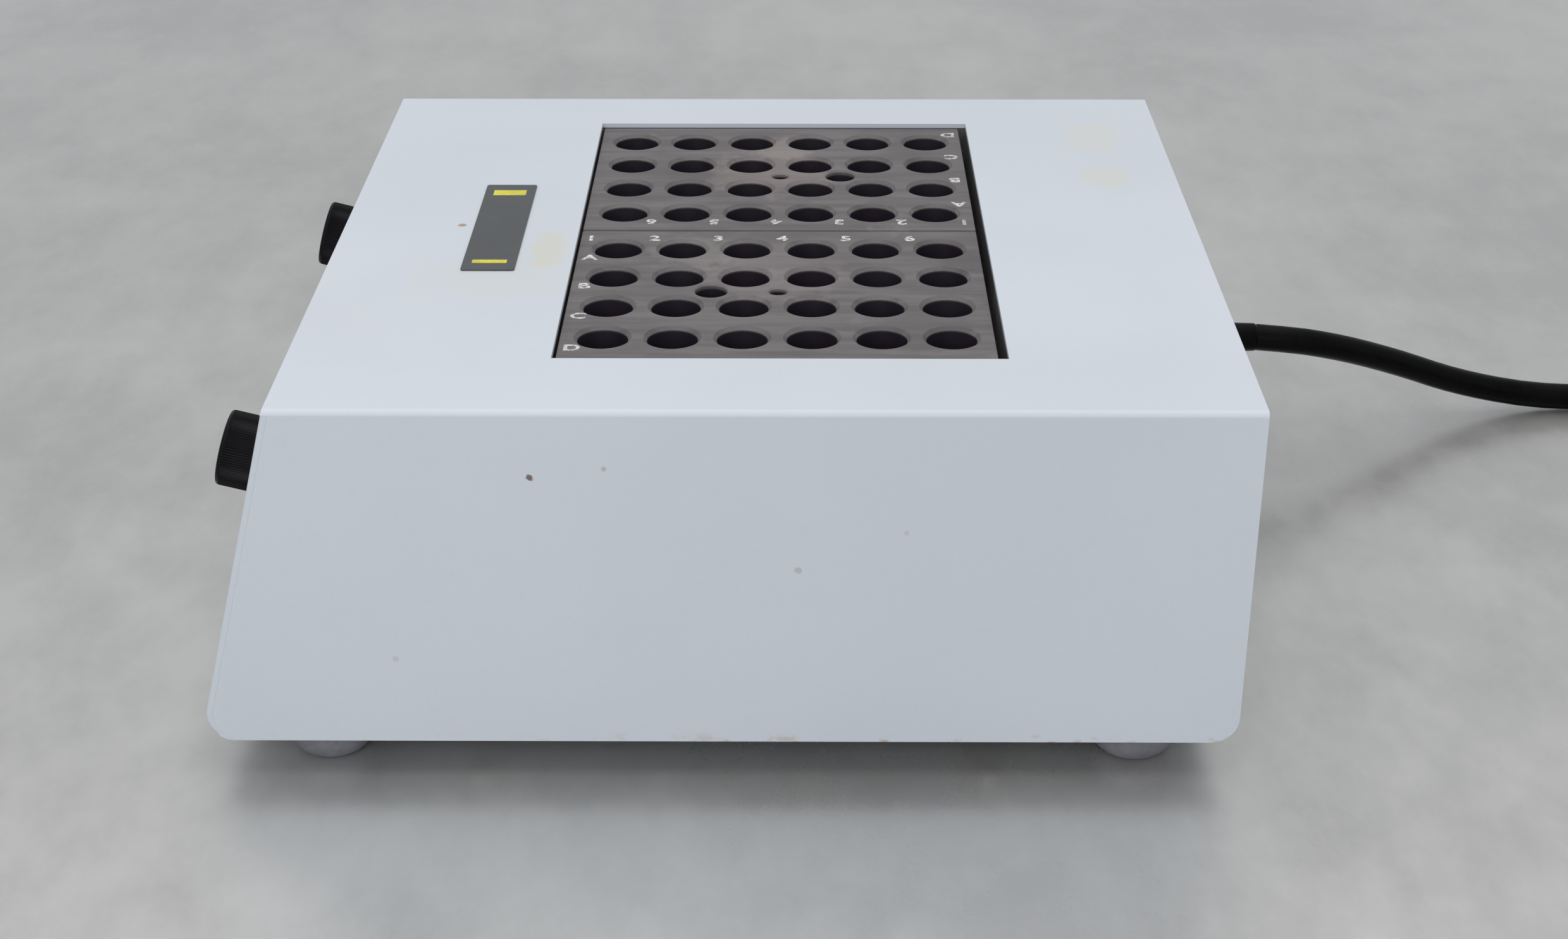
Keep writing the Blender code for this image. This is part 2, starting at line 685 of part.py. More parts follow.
def heating_chamber():
    inner_low = Vector((OPENING_LOW.x - GAP, OPENING_LOW.y - GAP, PLATE_TOP + GAP))
    inner_high = Vector((OPENING_HIGH.x + GAP, OPENING_HIGH.y + GAP, INSIDE_TOP))
    ring_box("block_chamber", inner_low, inner_high, CHAMBER_WALL, zinc_steel())
    border = Vector((1, 1, 0)) * (PLATE_BORDER + GAP)
    wool_low = Vector((inner_low.x, inner_low.y, PAD_BOTTOM)) - border
    wool_high = Vector((inner_high.x, inner_high.y, INSIDE_TOP - GAP)) + border
    ring_box("chamber_insulation", wool_low, wool_high, INSULATION_WALL, insulation_wool())

    edge = Vector((1, 1, 0)) * PLATE_BORDER
    plate_low = Vector((inner_low.x, inner_low.y, PLATE_BOTTOM)) - edge
    plate_high = Vector((inner_high.x, inner_high.y, PLATE_TOP)) + edge
    plate = box("heater_plate", plate_low, plate_high, bare_aluminium())
    sensor_spot = {"location": (BLOCK_SEAM_X, plate_low.y, (PLATE_TOP + PLATE_BOTTOM) / 2),
                   "rotation": (math.pi / 2, 0, 0)}
    cut(plate, rod("sensor_bore", SENSOR_RADIUS + GAP, -SENSOR_LENGTH, SENSOR_LENGTH, bare_aluminium(),
                   sides=10, **sensor_spot))

    inset = Vector((1, 1, 0)) * MAT_INSET
    mat_low = Vector((plate_low.x, plate_low.y, MAT_BOTTOM)) + inset
    mat_high = Vector((plate_high.x, plate_high.y, PLATE_BOTTOM - GAP)) - inset
    box("heater_mat", mat_low, mat_high, silicone_mat())

    pad = box("base_insulation", (plate_low.x, plate_low.y, PAD_BOTTOM),
              (plate_high.x, plate_high.y, PAD_BOTTOM + PAD_THICKNESS), insulation_wool())
    cut(pad, rod("cutoff_pocket", CUTOFF_RADIUS + SHEET, PAD_BOTTOM - SHEET, MAT_BOTTOM + GAP, zinc_steel(),
                 x=BLOCK_SEAM_X, y=BLOCK_CENTRE_Y))
    rod("thermal_cutoff", CUTOFF_RADIUS, PAD_BOTTOM + GAP, MAT_BOTTOM - GAP, bare_aluminium(),
        x=BLOCK_SEAM_X, y=BLOCK_CENTRE_Y)
    slit = box("sensor_slit",
               (BLOCK_SEAM_X - SENSOR_RADIUS * 2, wool_low.y - INSULATION_WALL * 2, PLATE_BOTTOM),
               (BLOCK_SEAM_X + SENSOR_RADIUS * 2, wool_low.y + SHEET, PLATE_TOP), zinc_steel())
    cut(bpy.data.objects["chamber_insulation"], slit)
    rod("temperature_sensor", SENSOR_RADIUS, SENSOR_PROUD - SENSOR_LENGTH, SENSOR_PROUD, zinc_steel(),
        sides=10, **sensor_spot)
    return plate_low


def heater_supports():
    """Two bent channels that carry the heater off the floor of the case."""
    for name, side in (("front", -1), ("rear", 1)):
        y = BLOCK_CENTRE_Y + side * SUPPORT_SPACING / 2
        half = SUPPORT_WIDTH / 2
        top = PAD_BOTTOM - GAP
        outline = [(y - half, FLOOR_TOP), (y - half, top), (y + half, top), (y + half, FLOOR_TOP),
                   (y + half - SHEET, FLOOR_TOP), (y + half - SHEET, top - SHEET),
                   (y - half + SHEET, top - SHEET), (y - half + SHEET, FLOOR_TOP)]
        low = BLOCK_SEAM_X - SUPPORT_LENGTH / 2
        prism(f"heater_support_{name}", outline, low, low + SUPPORT_LENGTH, zinc_steel())


# ---- Control panel -------------------------------------------------------------------------------

def control_panel():
    """An empty on the panel's outer face: X right, Y up the slope from the top edge, Z out of the panel."""
    panel = bpy.data.objects.new("control_panel", None)
    bpy.data.collections[PARTS].objects.link(panel)
    panel.location = (0, FRONT_TOP, CASE_TOP)
    panel.rotation_euler = (math.pi / 2 - FRONT_SLOPE, 0, 0)
    return panel


def temperature_control(side, x, panel):
    """A turned knob on its shaft, and the control that holds them."""
    spot = {"location": (x, -KNOB_DOWN, 0), "parent": panel}
    bore = SHAFT_RADIUS + GAP
    ceiling = KNOB_LIFT + KNOB_RECESS_DEPTH
    bore_end = KNOB_PROUD - SHEET * 2
    knob = [(0, KNOB_PROUD), (KNOB_RADIUS - KNOB_EDGE, KNOB_PROUD), (KNOB_RADIUS, KNOB_PROUD - KNOB_EDGE),
            (KNOB_RADIUS, KNOB_LIFT), (KNOB_RECESS_RADIUS, KNOB_LIFT), (KNOB_RECESS_RADIUS, ceiling),
            (bore, ceiling), (bore, bore_end), (0, bore_end)]
    turned(f"{side}_knob", knob, black_plastic(), steps=24, **spot)
    back = -(SHEET + GAP)
    rod(f"{side}_control_shaft", SHAFT_RADIUS, back - CONTROL_DEPTH / 2, bore_end - GAP, zinc_steel(),
        sides=12, **spot)
    well = back - CONTROL_DEPTH / 2 - GAP
    control = [(BUSHING_RADIUS, BUSHING_PROUD), (BUSHING_RADIUS, back), (CONTROL_RADIUS, back),
               (CONTROL_RADIUS, back - CONTROL_DEPTH), (0, back - CONTROL_DEPTH)]
    body = [(0, well), (bore, well), (bore, BUSHING_PROUD), *control]
    turned(f"{side}_control", body, zinc_steel(), steps=14, **spot)
    nut = rod(f"{side}_control_nut", NUT_RADIUS, GAP, GAP + NUT_HEIGHT, brass(), sides=6, **spot)
    cut(nut, rod(f"{side}_nut_bore", BUSHING_RADIUS + GAP, -NUT_HEIGHT, NUT_HEIGHT * 3, brass(),
                 sides=12, **spot))


def power_switch(panel):
    """A rocker in its snap-in housing. The rocker turns about the panel's X direction."""
    half = SWITCH_BODY / 2
    rim = SWITCH_BEZEL
    spot = {"location": (PANEL_CENTRE_X, -SWITCH_DOWN, 0), "parent": panel}
    plastic = black_plastic()
    housing = box("switch_housing", (-half.x, -half.y, -SWITCH_BODY.z), (half.x, half.y, GAP * 3),
                  plastic, **spot)
    unite(housing, box("switch_bezel", (-half.x - rim, -half.y - rim, GAP),
                       (half.x + rim, half.y + rim, SWITCH_BEZEL_HEIGHT), plastic, bevel=GAP, **spot))
    well = Vector((half.x - SWITCH_WALL, half.y - SWITCH_WALL, SWITCH_BODY.z))
    floor = -SWITCH_BODY.z * SWITCH_WELL_SHARE
    cut(housing, box("switch_well", (-well.x, -well.y, floor), tuple(well), plastic, **spot))

    reach = well.y - GAP * 3
    rise = SWITCH_BEZEL_HEIGHT + ROCKER_PROUD
    dip = rise * 0.45
    heel = reach * 0.45
    keel = -reach * 0.6
    outline = [(-reach, 0.0), (-reach * 0.97, rise), (0.0, dip), (reach * 0.97, rise), (reach, 0.0),
               (heel, keel), (-heel, keel)]
    width = well.x - GAP * 2
    rocker = prism("power_rocker", outline, -width, width, black_plastic())
    rocker.parent = panel
    rocker.location = (PANEL_CENTRE_X, -SWITCH_DOWN, 0)
    rocker.rotation_euler = (ROCKER_TILT, 0, 0)


def pilot_lamp(panel):
    spot = {"location": (LAMP_X, -LAMP_DOWN, 0), "parent": panel}
    back = -(SHEET + GAP) * 2
    lens = [(0, SHEET * 2.2), (LAMP_RADIUS * 0.75, SHEET * 1.8), (LAMP_RADIUS, SHEET),
            (LAMP_FLANGE, SHEET * 0.8), (LAMP_FLANGE, GAP), (LAMP_RADIUS, GAP), (LAMP_RADIUS, back),
            (0, back)]
    turned("pilot_lamp_lens", lens, amber_lens(), steps=14, **spot)
    rod("pilot_lamp_body", LAMP_FLANGE, back - GAP - LAMP_RADIUS * 4, back - GAP, black_plastic(),
        sides=12, **spot)


# ---- Electrics -----------------------------------------------------------------------------------

def electronics():
    box("control_board", BOARD_LOW, BOARD_HIGH, board_laminate())
    for end, y in (("front", BOARD_LOW.y + STANDOFF_INSET), ("rear", BOARD_HIGH.y - STANDOFF_INSET)):
        for side, x in (("left", BOARD_LOW.x + STANDOFF_INSET), ("right", BOARD_HIGH.x - STANDOFF_INSET)):
            rod(f"board_standoff_{end}_{side}", STANDOFF_RADIUS, FLOOR_TOP, BOARD_LOW.z - GAP, brass(),
                sides=6, x=x, y=y)
    deck = BOARD_HIGH.z + GAP
    front, rear = SINK_FRONT, SINK_FRONT + SINK_FOOT
    outline = [(front, deck), (front, deck + SINK_HEIGHT), (front + SINK_WALL, deck + SINK_HEIGHT),
               (front + SINK_WALL, deck + SINK_WALL), (rear, deck + SINK_WALL), (rear, deck)]
    prism("triac_heat_sink", outline, *SINK_ENDS, bare_aluminium())
    middle = sum(SINK_ENDS) / 2
    width, depth, height = TRIAC_SIZE
    back = front - GAP
    low = deck + TRIAC_LIFT
    box("triac", (middle - width / 2, back - depth, low), (middle + width / 2, back, low + height),
        black_plastic())
    rod("fuse", FUSE_RADIUS, -FUSE_LENGTH / 2, FUSE_LENGTH / 2, brass(), sides=10,
        location=(FUSE_X, FUSE_Y, deck + FUSE_RADIUS + GAP), rotation=(0, math.pi / 2, 0))
    box("terminal_block", TERMINAL_LOW, TERMINAL_HIGH, black_plastic(), bevel=GAP * 2)
    rod("earth_screw", EARTH_SCREW_RADIUS, FLOOR_TOP, FLOOR_TOP + EARTH_SCREW_HEIGHT, brass(), sides=6,
        x=EARTH_SCREW_X, y=REAR_WALL - EARTH_SCREW_BACK)


def inner_wiring(plate_low):
    """Leads between the cord, the terminal block, the board and the heater."""
    deck = BOARD_HIGH.z + LEAD_RADIUS + GAP * 2
    relief_root = CASE_REAR - REAR_RECESS - STRAIN_RELIEF_INSIDE - GAP * 6
    over_terminal = TERMINAL_HIGH.z + CORD_DIAMETER / 2 + GAP
    terminal_y = TERMINAL_LOW.y + CORD_DIAMETER * 0.4
    mains = [(CORD_EXIT.x, relief_root, CORD_EXIT.z), (CORD_EXIT.x, relief_root - 0.005, CORD_EXIT.z - 0.001),
             (CORD_EXIT.x + 0.0034, terminal_y + 0.0032, over_terminal + 0.0016),
             (TERMINAL_LOW.x, terminal_y, over_terminal + 0.0003),
             (TERMINAL_LOW.x + 0.008, terminal_y, over_terminal + 0.0005)]
    tube("inner_mains_lead", smooth_route(mains, 0.004), CORD_DIAMETER / 2, cord_jacket())
    rear = OPENING_HIGH.y + PLATE_BORDER + INSULATION_WALL
    side = SUPPLY_LEAD_INSET - HALF_WIDTH
    low = FLOOR_TOP + SUPPLY_LEAD_LIFT
    terminal_front = TERMINAL_LOW.y - LEAD_RADIUS
    supply = [(TERMINAL_LOW.x + 0.004, terminal_front, low),
              (TERMINAL_LOW.x - 0.008, rear + (terminal_front - rear) * 0.675, low),
              (side + 0.004, rear - 0.006, low), (side, 0.030, low), (side, -0.040, low),
              (side + 0.0055, -0.078, low + 0.0015), (-0.072, FUSE_Y, deck),
              (BOARD_LOW.x + 0.008, FUSE_Y, deck + GAP)]
    tube("supply_lead", smooth_route(supply, 0.012), LEAD_RADIUS, cord_jacket())
    under_pad = PAD_BOTTOM - LEAD_RADIUS - 0.001
    edge = BOARD_HIGH.y
    x = HEATER_LEAD_X
    rise = max(0.0, under_pad - deck) / 4
    heater = [(x, edge - 0.010, deck + GAP), (x, edge - 0.001, deck + rise + 0.0002),
              (x, edge + 0.0048, under_pad),
              (x - 0.001, edge + 0.009, under_pad - 0.0005), (x - 0.002, plate_low.y + 0.006, under_pad)]
    tube("heater_lead", smooth_route(heater, 0.006), LEAD_RADIUS, silicone_mat())


# ---- Mains cord ----------------------------------------------------------------------------------

def strain_relief():
    """A tapered sleeve snapped into the rear panel, lying along Y."""
    seat = CASE_REAR - REAR_RECESS
    tip = CORD_EXIT.y - GAP
    flange = STRAIN_RELIEF_RADIUS * 1.55
    inner = seat - SHEET - GAP
    root = seat - STRAIN_RELIEF_INSIDE
    cord = CORD_DIAMETER / 2
    profile = [(0, tip), (cord + 0.0006, tip), (STRAIN_RELIEF_RADIUS, seat + 0.0035), (flange, seat + 0.003),
               (flange, seat + GAP), (STRAIN_RELIEF_RADIUS, seat + GAP), (STRAIN_RELIEF_RADIUS, inner),
               (STRAIN_RELIEF_RADIUS + 0.001, inner), (STRAIN_RELIEF_RADIUS, root), (0, root)]
    turned("strain_relief", profile, cord_jacket(), steps=14,
           location=(CORD_EXIT.x, 0, CORD_EXIT.z), rotation=(-math.pi / 2, 0, 0))


def mains_cord():
    strain_relief()
    radius = CORD_DIAMETER / 2
    tube("mains_cord", smooth_route(CORD_ROUTE, 0.008), radius, cord_jacket(), resolution=2)
    height = COIL_LAYERS * CORD_DIAMETER + GAP
    profile = [(COIL_OUTER, height), (COIL_OUTER, GAP), (COIL_INNER, GAP), (COIL_INNER, height)]
    turned("cord_coil", profile, cord_jacket(), steps=28, location=COIL_CENTRE)
    tube("cord_tail", smooth_route(TAIL_ROUTE, 0.008), radius, cord_jacket(), resolution=2)
    coil_tie(height)
    plug()


def coil_tie(height):
    """A strap folded over the coil, open underneath."""
    low = COIL_CENTRE.x + math.sqrt(COIL_INNER ** 2 - (TIE_WIDTH / 2) ** 2) - GAP
    high = COIL_CENTRE.x + COIL_OUTER + GAP
    y = COIL_CENTRE.y
    top = height + GAP
    tie = box("coil_tie", (low - TIE_THICKNESS, y - TIE_WIDTH / 2, GAP),
              (high + TIE_THICKNESS, y + TIE_WIDTH / 2, top + TIE_THICKNESS), black_plastic())
    cut(tie, box("tie_inside", (low, y - TIE_WIDTH, -TIE_WIDTH), (high, y + TIE_WIDTH, top), black_plastic()))


def plug():
    """A moulded three-pin plug lying on the table, its blades towards +X."""
    tail = Vector(TAIL_ROUTE[-1])
    body_start = tail.x + GAP + PLUG_NOSE
    body_end = body_start + PLUG_LENGTH
    half_width = PLUG_WIDTH / 2
    top = tail.z + PLUG_HEIGHT / 2
    body = box("plug_body", (body_start, tail.y - half_width, GAP), (body_end, tail.y + half_width, top),
               cord_jacket(), bevel=0.003)
    nose = rod("plug_nose", CORD_DIAMETER * 0.95, 0, PLUG_NOSE + SHEET * 4, cord_jacket(), sides=12,
               location=(tail.x + GAP, tail.y, tail.z), rotation=(0, math.pi / 2, 0))
    unite(body, nose)
    face = body_end + GAP
    blade_z = tail.z + EARTH_PIN_DROP / 3
    for name, side in (("live", -1), ("neutral", 1)):
        centre = Vector((face + BLADE_SIZE.x / 2, tail.y + side * BLADE_SPACING / 2, blade_z))
        box(f"plug_{name}_blade", centre - BLADE_SIZE / 2, centre + BLADE_SIZE / 2, brass())
    rod("plug_earth_pin", EARTH_PIN_RADIUS, face, face + EARTH_PIN_LENGTH, brass(), sides=10,
        location=(0, tail.y, blade_z - EARTH_PIN_DROP), rotation=(0, math.pi / 2, 0))


# ---- The whole heater ----------------------------------------------------------------------------

def main():
    clear_scene()
    panel = control_panel()
    top_cover()
    base_chassis(panel)
    feet()
    cover_screws()
    caution_label()
    heating_block("right_block", 1)
    heating_block("left_block", -1)
    plate_low = heating_chamber()
    heater_supports()
    temperature_control("left", PANEL_CENTRE_X - KNOB_SPACING / 2, panel)
    temperature_control("right", PANEL_CENTRE_X + KNOB_SPACING / 2, panel)
    power_switch(panel)
    pilot_lamp(panel)
    electronics()
    inner_wiring(plate_low)
    mains_cord()


main()
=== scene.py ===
"""Looks of a two-block dry block heater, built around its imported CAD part.

Metres, +Z up. The sloping control panel faces -Y and the mains cord leaves towards +Y.
Every piece is made in the row frame with its object at the origin.
"""

import json
import math

import bmesh
import bpy
from mathutils import Matrix, Vector


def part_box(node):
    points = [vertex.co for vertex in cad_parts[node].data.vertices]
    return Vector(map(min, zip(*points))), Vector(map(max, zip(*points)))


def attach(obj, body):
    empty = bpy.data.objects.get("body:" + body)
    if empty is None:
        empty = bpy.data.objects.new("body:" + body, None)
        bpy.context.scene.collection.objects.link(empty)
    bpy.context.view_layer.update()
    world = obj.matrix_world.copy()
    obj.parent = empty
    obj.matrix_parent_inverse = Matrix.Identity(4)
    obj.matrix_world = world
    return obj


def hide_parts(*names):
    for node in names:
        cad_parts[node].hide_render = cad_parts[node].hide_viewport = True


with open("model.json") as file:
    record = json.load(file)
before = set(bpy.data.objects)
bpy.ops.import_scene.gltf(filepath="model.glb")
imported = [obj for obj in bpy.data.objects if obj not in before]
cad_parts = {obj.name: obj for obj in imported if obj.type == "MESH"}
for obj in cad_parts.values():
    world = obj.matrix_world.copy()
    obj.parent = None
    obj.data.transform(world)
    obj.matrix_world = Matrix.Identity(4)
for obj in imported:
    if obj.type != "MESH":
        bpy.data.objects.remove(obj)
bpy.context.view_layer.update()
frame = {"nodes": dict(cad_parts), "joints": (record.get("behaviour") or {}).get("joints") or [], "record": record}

SCENE = bpy.context.scene
JOINTS = {joint["name"]: joint for joint in frame["joints"]}

# ---- Case: the CAD's sizes, with slightly tighter folds ----
GAP = 0.0003
HAIR = GAP / 10
SHEET = 0.0012
CASE_TOP = 0.0889
CASE_SIDE = 0.1016
FRONT_TOP = -0.0934
FRONT_SLOPE = math.radians(14.66)
FRONT_RETURN = 0.0014
CORNER_RADIUS = 0.0061
FOLD_RADIUS = 0.0014
FRONT_EDGE = 0.0007
SEAM = 0.00001
SHARP_EDGE = 0.00005
FLOOR_RETURN_DEPTH = 0.022
FLOOR_RETURN_ENDS = (-0.072, 0.076)
CHAMBER_WALL = 0.0008
SCREW_HOLE_RADIUS = 0.0022
CORD_HOLE_RADIUS = 0.0051
KNOB_HOLE_RADIUS = 0.0038
LAMP_HOLE_RADIUS = 0.0035
SWITCH_HOLE_HALF = Vector((0.0067, 0.0117, 0.015))
PANEL_HOLE_REACH = 0.015
VENT_SLOTS = 7
VENT_PITCH = 0.008
VENT_SIZE = Vector((0.003, 0.008, 0.026))
VENT_CENTRE = Vector((0.045, 0.1135, 0.050))
FOOT_BOLT_RADIUS = 0.0022
FOOT_RECESS_RADIUS = 0.0039
LABEL_BANDS = ((0.0040, 0.0075), (0.0505, 0.0525))
LABEL_BAND_MARGIN = 0.0022
LABEL_INK = 0.00003

# ---- Heating blocks ----
BLOCK_TOP = 0.0879
BLOCK_SEAM_X = -0.00285
BLOCK_MIDDLE_FROM_SEAM = 0.03815
BLOCK_MIDDLE_Y = 0.0117
WELL_ROWS = 4
WELL_COLUMNS = 6
WELL_ROW_PITCH = 0.01744
WELL_COLUMN_PITCH = 0.01528
WELL_RADIUS = 0.0056
WELL_DEPTH = 0.040
WELL_CHAMFER = 0.0008
# Extent of the painted shade in the wells: half sizes of the well grid, a height just under the block top, and its
# fade.
WELL_SHADE_HALF_X = 0.0371
WELL_SHADE_HALF_Y = 0.0470
WELL_SHADE_TOP = 0.0869
WELL_SHADE_FADE = 0.0003
THERMOMETER_RADIUS = 0.0037
LIFTER_RADIUS = 0.00205
LIFTER_DEPTH = 0.013
MARK_SIZE = 0.0043
MARK_WIDEN = 1.22
MARK_SWELL = MARK_SIZE * 0.03
MARK_INK = 0.00008
NUMBER_INSET = 0.0052
NUMBER_SHIFT = 0.0069
LETTER_INSET = 0.0031
LETTER_SHIFT = 0.0060

# ---- Control panel ----
KNOB_PROUD = 0.0104
KNOB_LIFT = 0.0008
KNOB_DOWN = 0.0286
KNOB_FLUTES = 90
FLUTE_DEPTH = 0.00030
SHAFT_RADIUS = 0.0023
KNOB_BOSS_RADIUS = 0.0064
DIAL_MARKS = 11
DIAL_START = 240
DIAL_STEP = 30
DIAL_TICK = (0.0095, 0.0112)
DIAL_TICK_HALF = 0.00022
DIAL_NUMBER_REACH = 0.0140
DIAL_NUMBER_SIZE = 0.0030
DIAL_INK = 0.00006
SWITCH_HALF = Vector((0.0064, 0.0114, 0.015))
SWITCH_RIM = 0.002
SWITCH_PROUD = 0.0015
SWITCH_WALL = 0.0012
ROCKER_TILT = math.radians(9)
ROCKER_STEPS = 16
ROCKER_INK = 0.00008
LAMP_DOWN = 0.042
LAMP_RADIUS = 0.0032
LAMP_FLANGE = 0.0046

# ---- Mains cord ----
CORD_DIAMETER = 0.0073
CORD_EXIT = Vector((-0.0689, 0.1429, 0.0310))
CORD_ROUTE = (
    CORD_EXIT,
    (-0.0690, 0.1564, 0.0296),
    (-0.0734, 0.1710, 0.0250),
    (-0.0791, 0.1864, 0.0185),
    (-0.0835, 0.2018, 0.0118),
    (-0.0868, 0.2170, 0.0069),
    (-0.0880, 0.2315, 0.0044),
    (-0.0882, 0.2490, 0.0039),
    (-0.0882, 0.2755, 0.0039),
    (-0.0882, 0.3040, 0.0039),
)
COIL_CENTRE = Vector((-0.0413, 0.304, 0.0039))
COIL_MEAN_RADIUS = 0.0396
COIL_PLACES = ((1, 0), (0, 0), (-1, 0), (-1, 1), (0, 1), (1, 1))
COIL_MOVES = ((260, 360), (260, 360), (185, 260), (90, 185), (90, 185))
COIL_SWEEP = 5 * 360 + 90
COIL_STEP = 6
TAIL_ROUTE = (
    (-0.0413, 0.3509, 0.0112),
    (-0.0260, 0.3509, 0.0111),
    (-0.0130, 0.3507, 0.0108),
    (0.0010, 0.3500, 0.0108),
    (0.0150, 0.3491, 0.0118),
    (0.0270, 0.3490, 0.0120),
)
ROUTE_STEP = 0.006
PLUG_STEPS = 48
NOSE_RINGS = 5
# Along the grip, as shares: how far along, half width, half height; then how square.
PLUG_GRIP = (
    (0.36, 0.50, 0.56, 2.2),
    (0.41, 0.68, 0.72, 2.6),
    (0.47, 0.84, 0.88, 3.2),
    (0.54, 0.95, 0.97, 3.8),
    (0.58, 0.97, 0.98, 4.0),
    (0.60, 0.93, 0.98, 4.0),
    (0.63, 0.93, 0.98, 4.0),
    (0.65, 0.98, 0.98, 4.0),
    (0.68, 0.98, 0.98, 4.0),
    (0.70, 0.94, 0.98, 4.0),
    (0.73, 0.94, 0.98, 4.0),
    (0.75, 0.99, 0.99, 4.2),
    (0.80, 1.0, 1.0, 4.6),
    (0.96, 1.0, 1.0, 5.0),
    (0.985, 0.985, 0.985, 5.0),
    (1.0, 0.94, 0.94, 4.6),
)

# ---- Stains ----
# Centre, reach, stretch and strength of the dried residue on the top.
RESIDUE_COLOUR = (0.60, 0.585, 0.44)
RESIDUE = (
    ((-0.0690, 0.0943, CASE_TOP), 0.011, (0.85, 1.5, 1), 0.30),
    ((-0.0377, 0.0940, CASE_TOP), 0.008, (0.95, 1.3, 1), 0.34),
    ((0.0130, -0.0430, CASE_TOP), 0.0085, (0.8, 1.8, 1), 0.50),
    ((0.0300, -0.0540, CASE_TOP), 0.013, (1.0, 0.7, 1), 0.16),
    ((0.0550, -0.0880, CASE_TOP), 0.012, (1.0, 0.8, 1), 0.05),
)
# Centre, reach, strength and colour.
CASE_FLECKS = (
    ((-0.0034, -0.0651, CASE_TOP), 0.0010, 0.8, (0.30, 0.20, 0.10)),
    ((CASE_SIDE, -0.0393, 0.0738), 0.0007, 0.85, (0.06, 0.055, 0.06)),
    ((CASE_SIDE, -0.0389, 0.0735), 0.0005, 0.6, (0.20, 0.10, 0.06)),
    ((CASE_SIDE, 0.0164, 0.0519), 0.0008, 0.45, (0.30, 0.29, 0.28)),
    ((CASE_SIDE, -0.0238, 0.0758), 0.0006, 0.45, (0.30, 0.26, 0.22)),
    ((CASE_SIDE, 0.0390, 0.0610), 0.0006, 0.30, (0.34, 0.33, 0.32)),
    ((CASE_SIDE, -0.0700, 0.0300), 0.0007, 0.30, (0.34, 0.33, 0.32)),
)
BLOCK_PATCHES = (
    ((-0.0440, 0.0100, BLOCK_TOP), 0.016, 0.35, (0.27, 0.23, 0.21)),
    ((-0.0620, 0.0130, BLOCK_TOP), 0.008, 0.40, (0.30, 0.26, 0.235)),
    ((0.0250, 0.0110, BLOCK_TOP), 0.016, 0.25, (0.27, 0.24, 0.235)),
    ((0.0120, -0.0080, BLOCK_TOP), 0.010, 0.25, (0.30, 0.28, 0.26)),
    ((0.0560, 0.0450, BLOCK_TOP), 0.011, 0.35, (0.085, 0.078, 0.082)),
    ((0.0170, 0.0560, BLOCK_TOP), 0.008, 0.45, (0.075, 0.068, 0.072)),
)

# ---- Finishes that vary with noise alone ----
PLAIN_FINISHES = {
    "black_plastic": {
        "light": (0.0040, 0.0035, 0.0056), "dark": (0.0022, 0.0020, 0.0032),
        "roughness": (0.26, 0.38), "grain": 900, "bump": 0.00004, "Specular_IOR_Level": 0.12},
    "grey_rubber": {
        "light": (0.215, 0.214, 0.245), "dark": (0.155, 0.155, 0.178),
        "roughness": (0.45, 0.65), "grain": 500, "bump": 0.00006},
    "zinc_steel": {
        "light": (0.60, 0.60, 0.59), "dark": (0.46, 0.46, 0.45),
        "roughness": (0.3, 0.46), "grain": 160, "bump": 0.00005, "metallic": 1.0,
        "stretch": (1, 0.2, 1)},
    "bare_aluminium": {
        "light": (0.76, 0.77, 0.78), "dark": (0.62, 0.63, 0.64),
        "roughness": (0.28, 0.42), "grain": 220, "bump": 0.00005, "metallic": 1.0,
        "stretch": (0.1, 1, 1)},
    "brass": {
        "light": (0.80, 0.62, 0.30), "dark": (0.66, 0.48, 0.20),
        "roughness": (0.2, 0.36), "grain": 300, "bump": 0.00004, "metallic": 1.0},
    "insulation_wool": {
        "light": (0.80, 0.77, 0.66), "dark": (0.62, 0.58, 0.46),
        "roughness": (0.9, 0.98), "grain": 340, "bump": 0.0008, "stretch": (1, 0.3, 1.4)},
    "silicone_mat": {
        "light": (0.58, 0.16, 0.09), "dark": (0.45, 0.11, 0.06),
        "roughness": (0.5, 0.62), "grain": 600, "bump": 0.0001},
    "cord_jacket": {
        "light": (0.0036, 0.0036, 0.0038), "dark": (0.0020, 0.0020, 0.0022),
        "roughness": (0.30, 0.44), "grain": 700, "bump": 0.00008, "Specular_IOR_Level": 0.06},
    "board_laminate": {
        "light": (0.03, 0.20, 0.08), "dark": (0.015, 0.12, 0.05),
        "roughness": (0.3, 0.42), "grain": 500, "bump": 0.00005},
    "amber_lens": {
        "light": (0.85, 0.30, 0.03), "dark": (0.65, 0.18, 0.02),
        "roughness": (0.08, 0.16), "grain": 300, "bump": 0.00003,
        "Transmission_Weight": 0.35, "IOR": 1.49},
    "label_film": {
        "light": (0.062, 0.068, 0.070), "dark": (0.046, 0.051, 0.053),
        "roughness": (0.34, 0.5), "grain": 700, "bump": 0.00004},
    "yellow_ink": {
        "light": (0.72, 0.66, 0.05), "dark": (0.52, 0.47, 0.04),
        "roughness": (0.4, 0.55), "grain": 800, "bump": 0.00003},
    "panel_ink": {
        "light": (0.045, 0.048, 0.055), "dark": (0.030, 0.032, 0.036),
        "roughness": (0.4, 0.55), "grain": 700, "bump": 0.00003},
}

# ---- Camera ----
CAMERA_PLACE = Vector((0.5504, 0.0159, 0.3026))
CAMERA_FORWARD = Vector((-0.89250, -0.00497, -0.45102))
CAMERA_RIGHT = Vector((-0.00537, 0.99999, -0.00039))
CAMERA_LENS = 56.0


# ---- Camera, light and floor ----

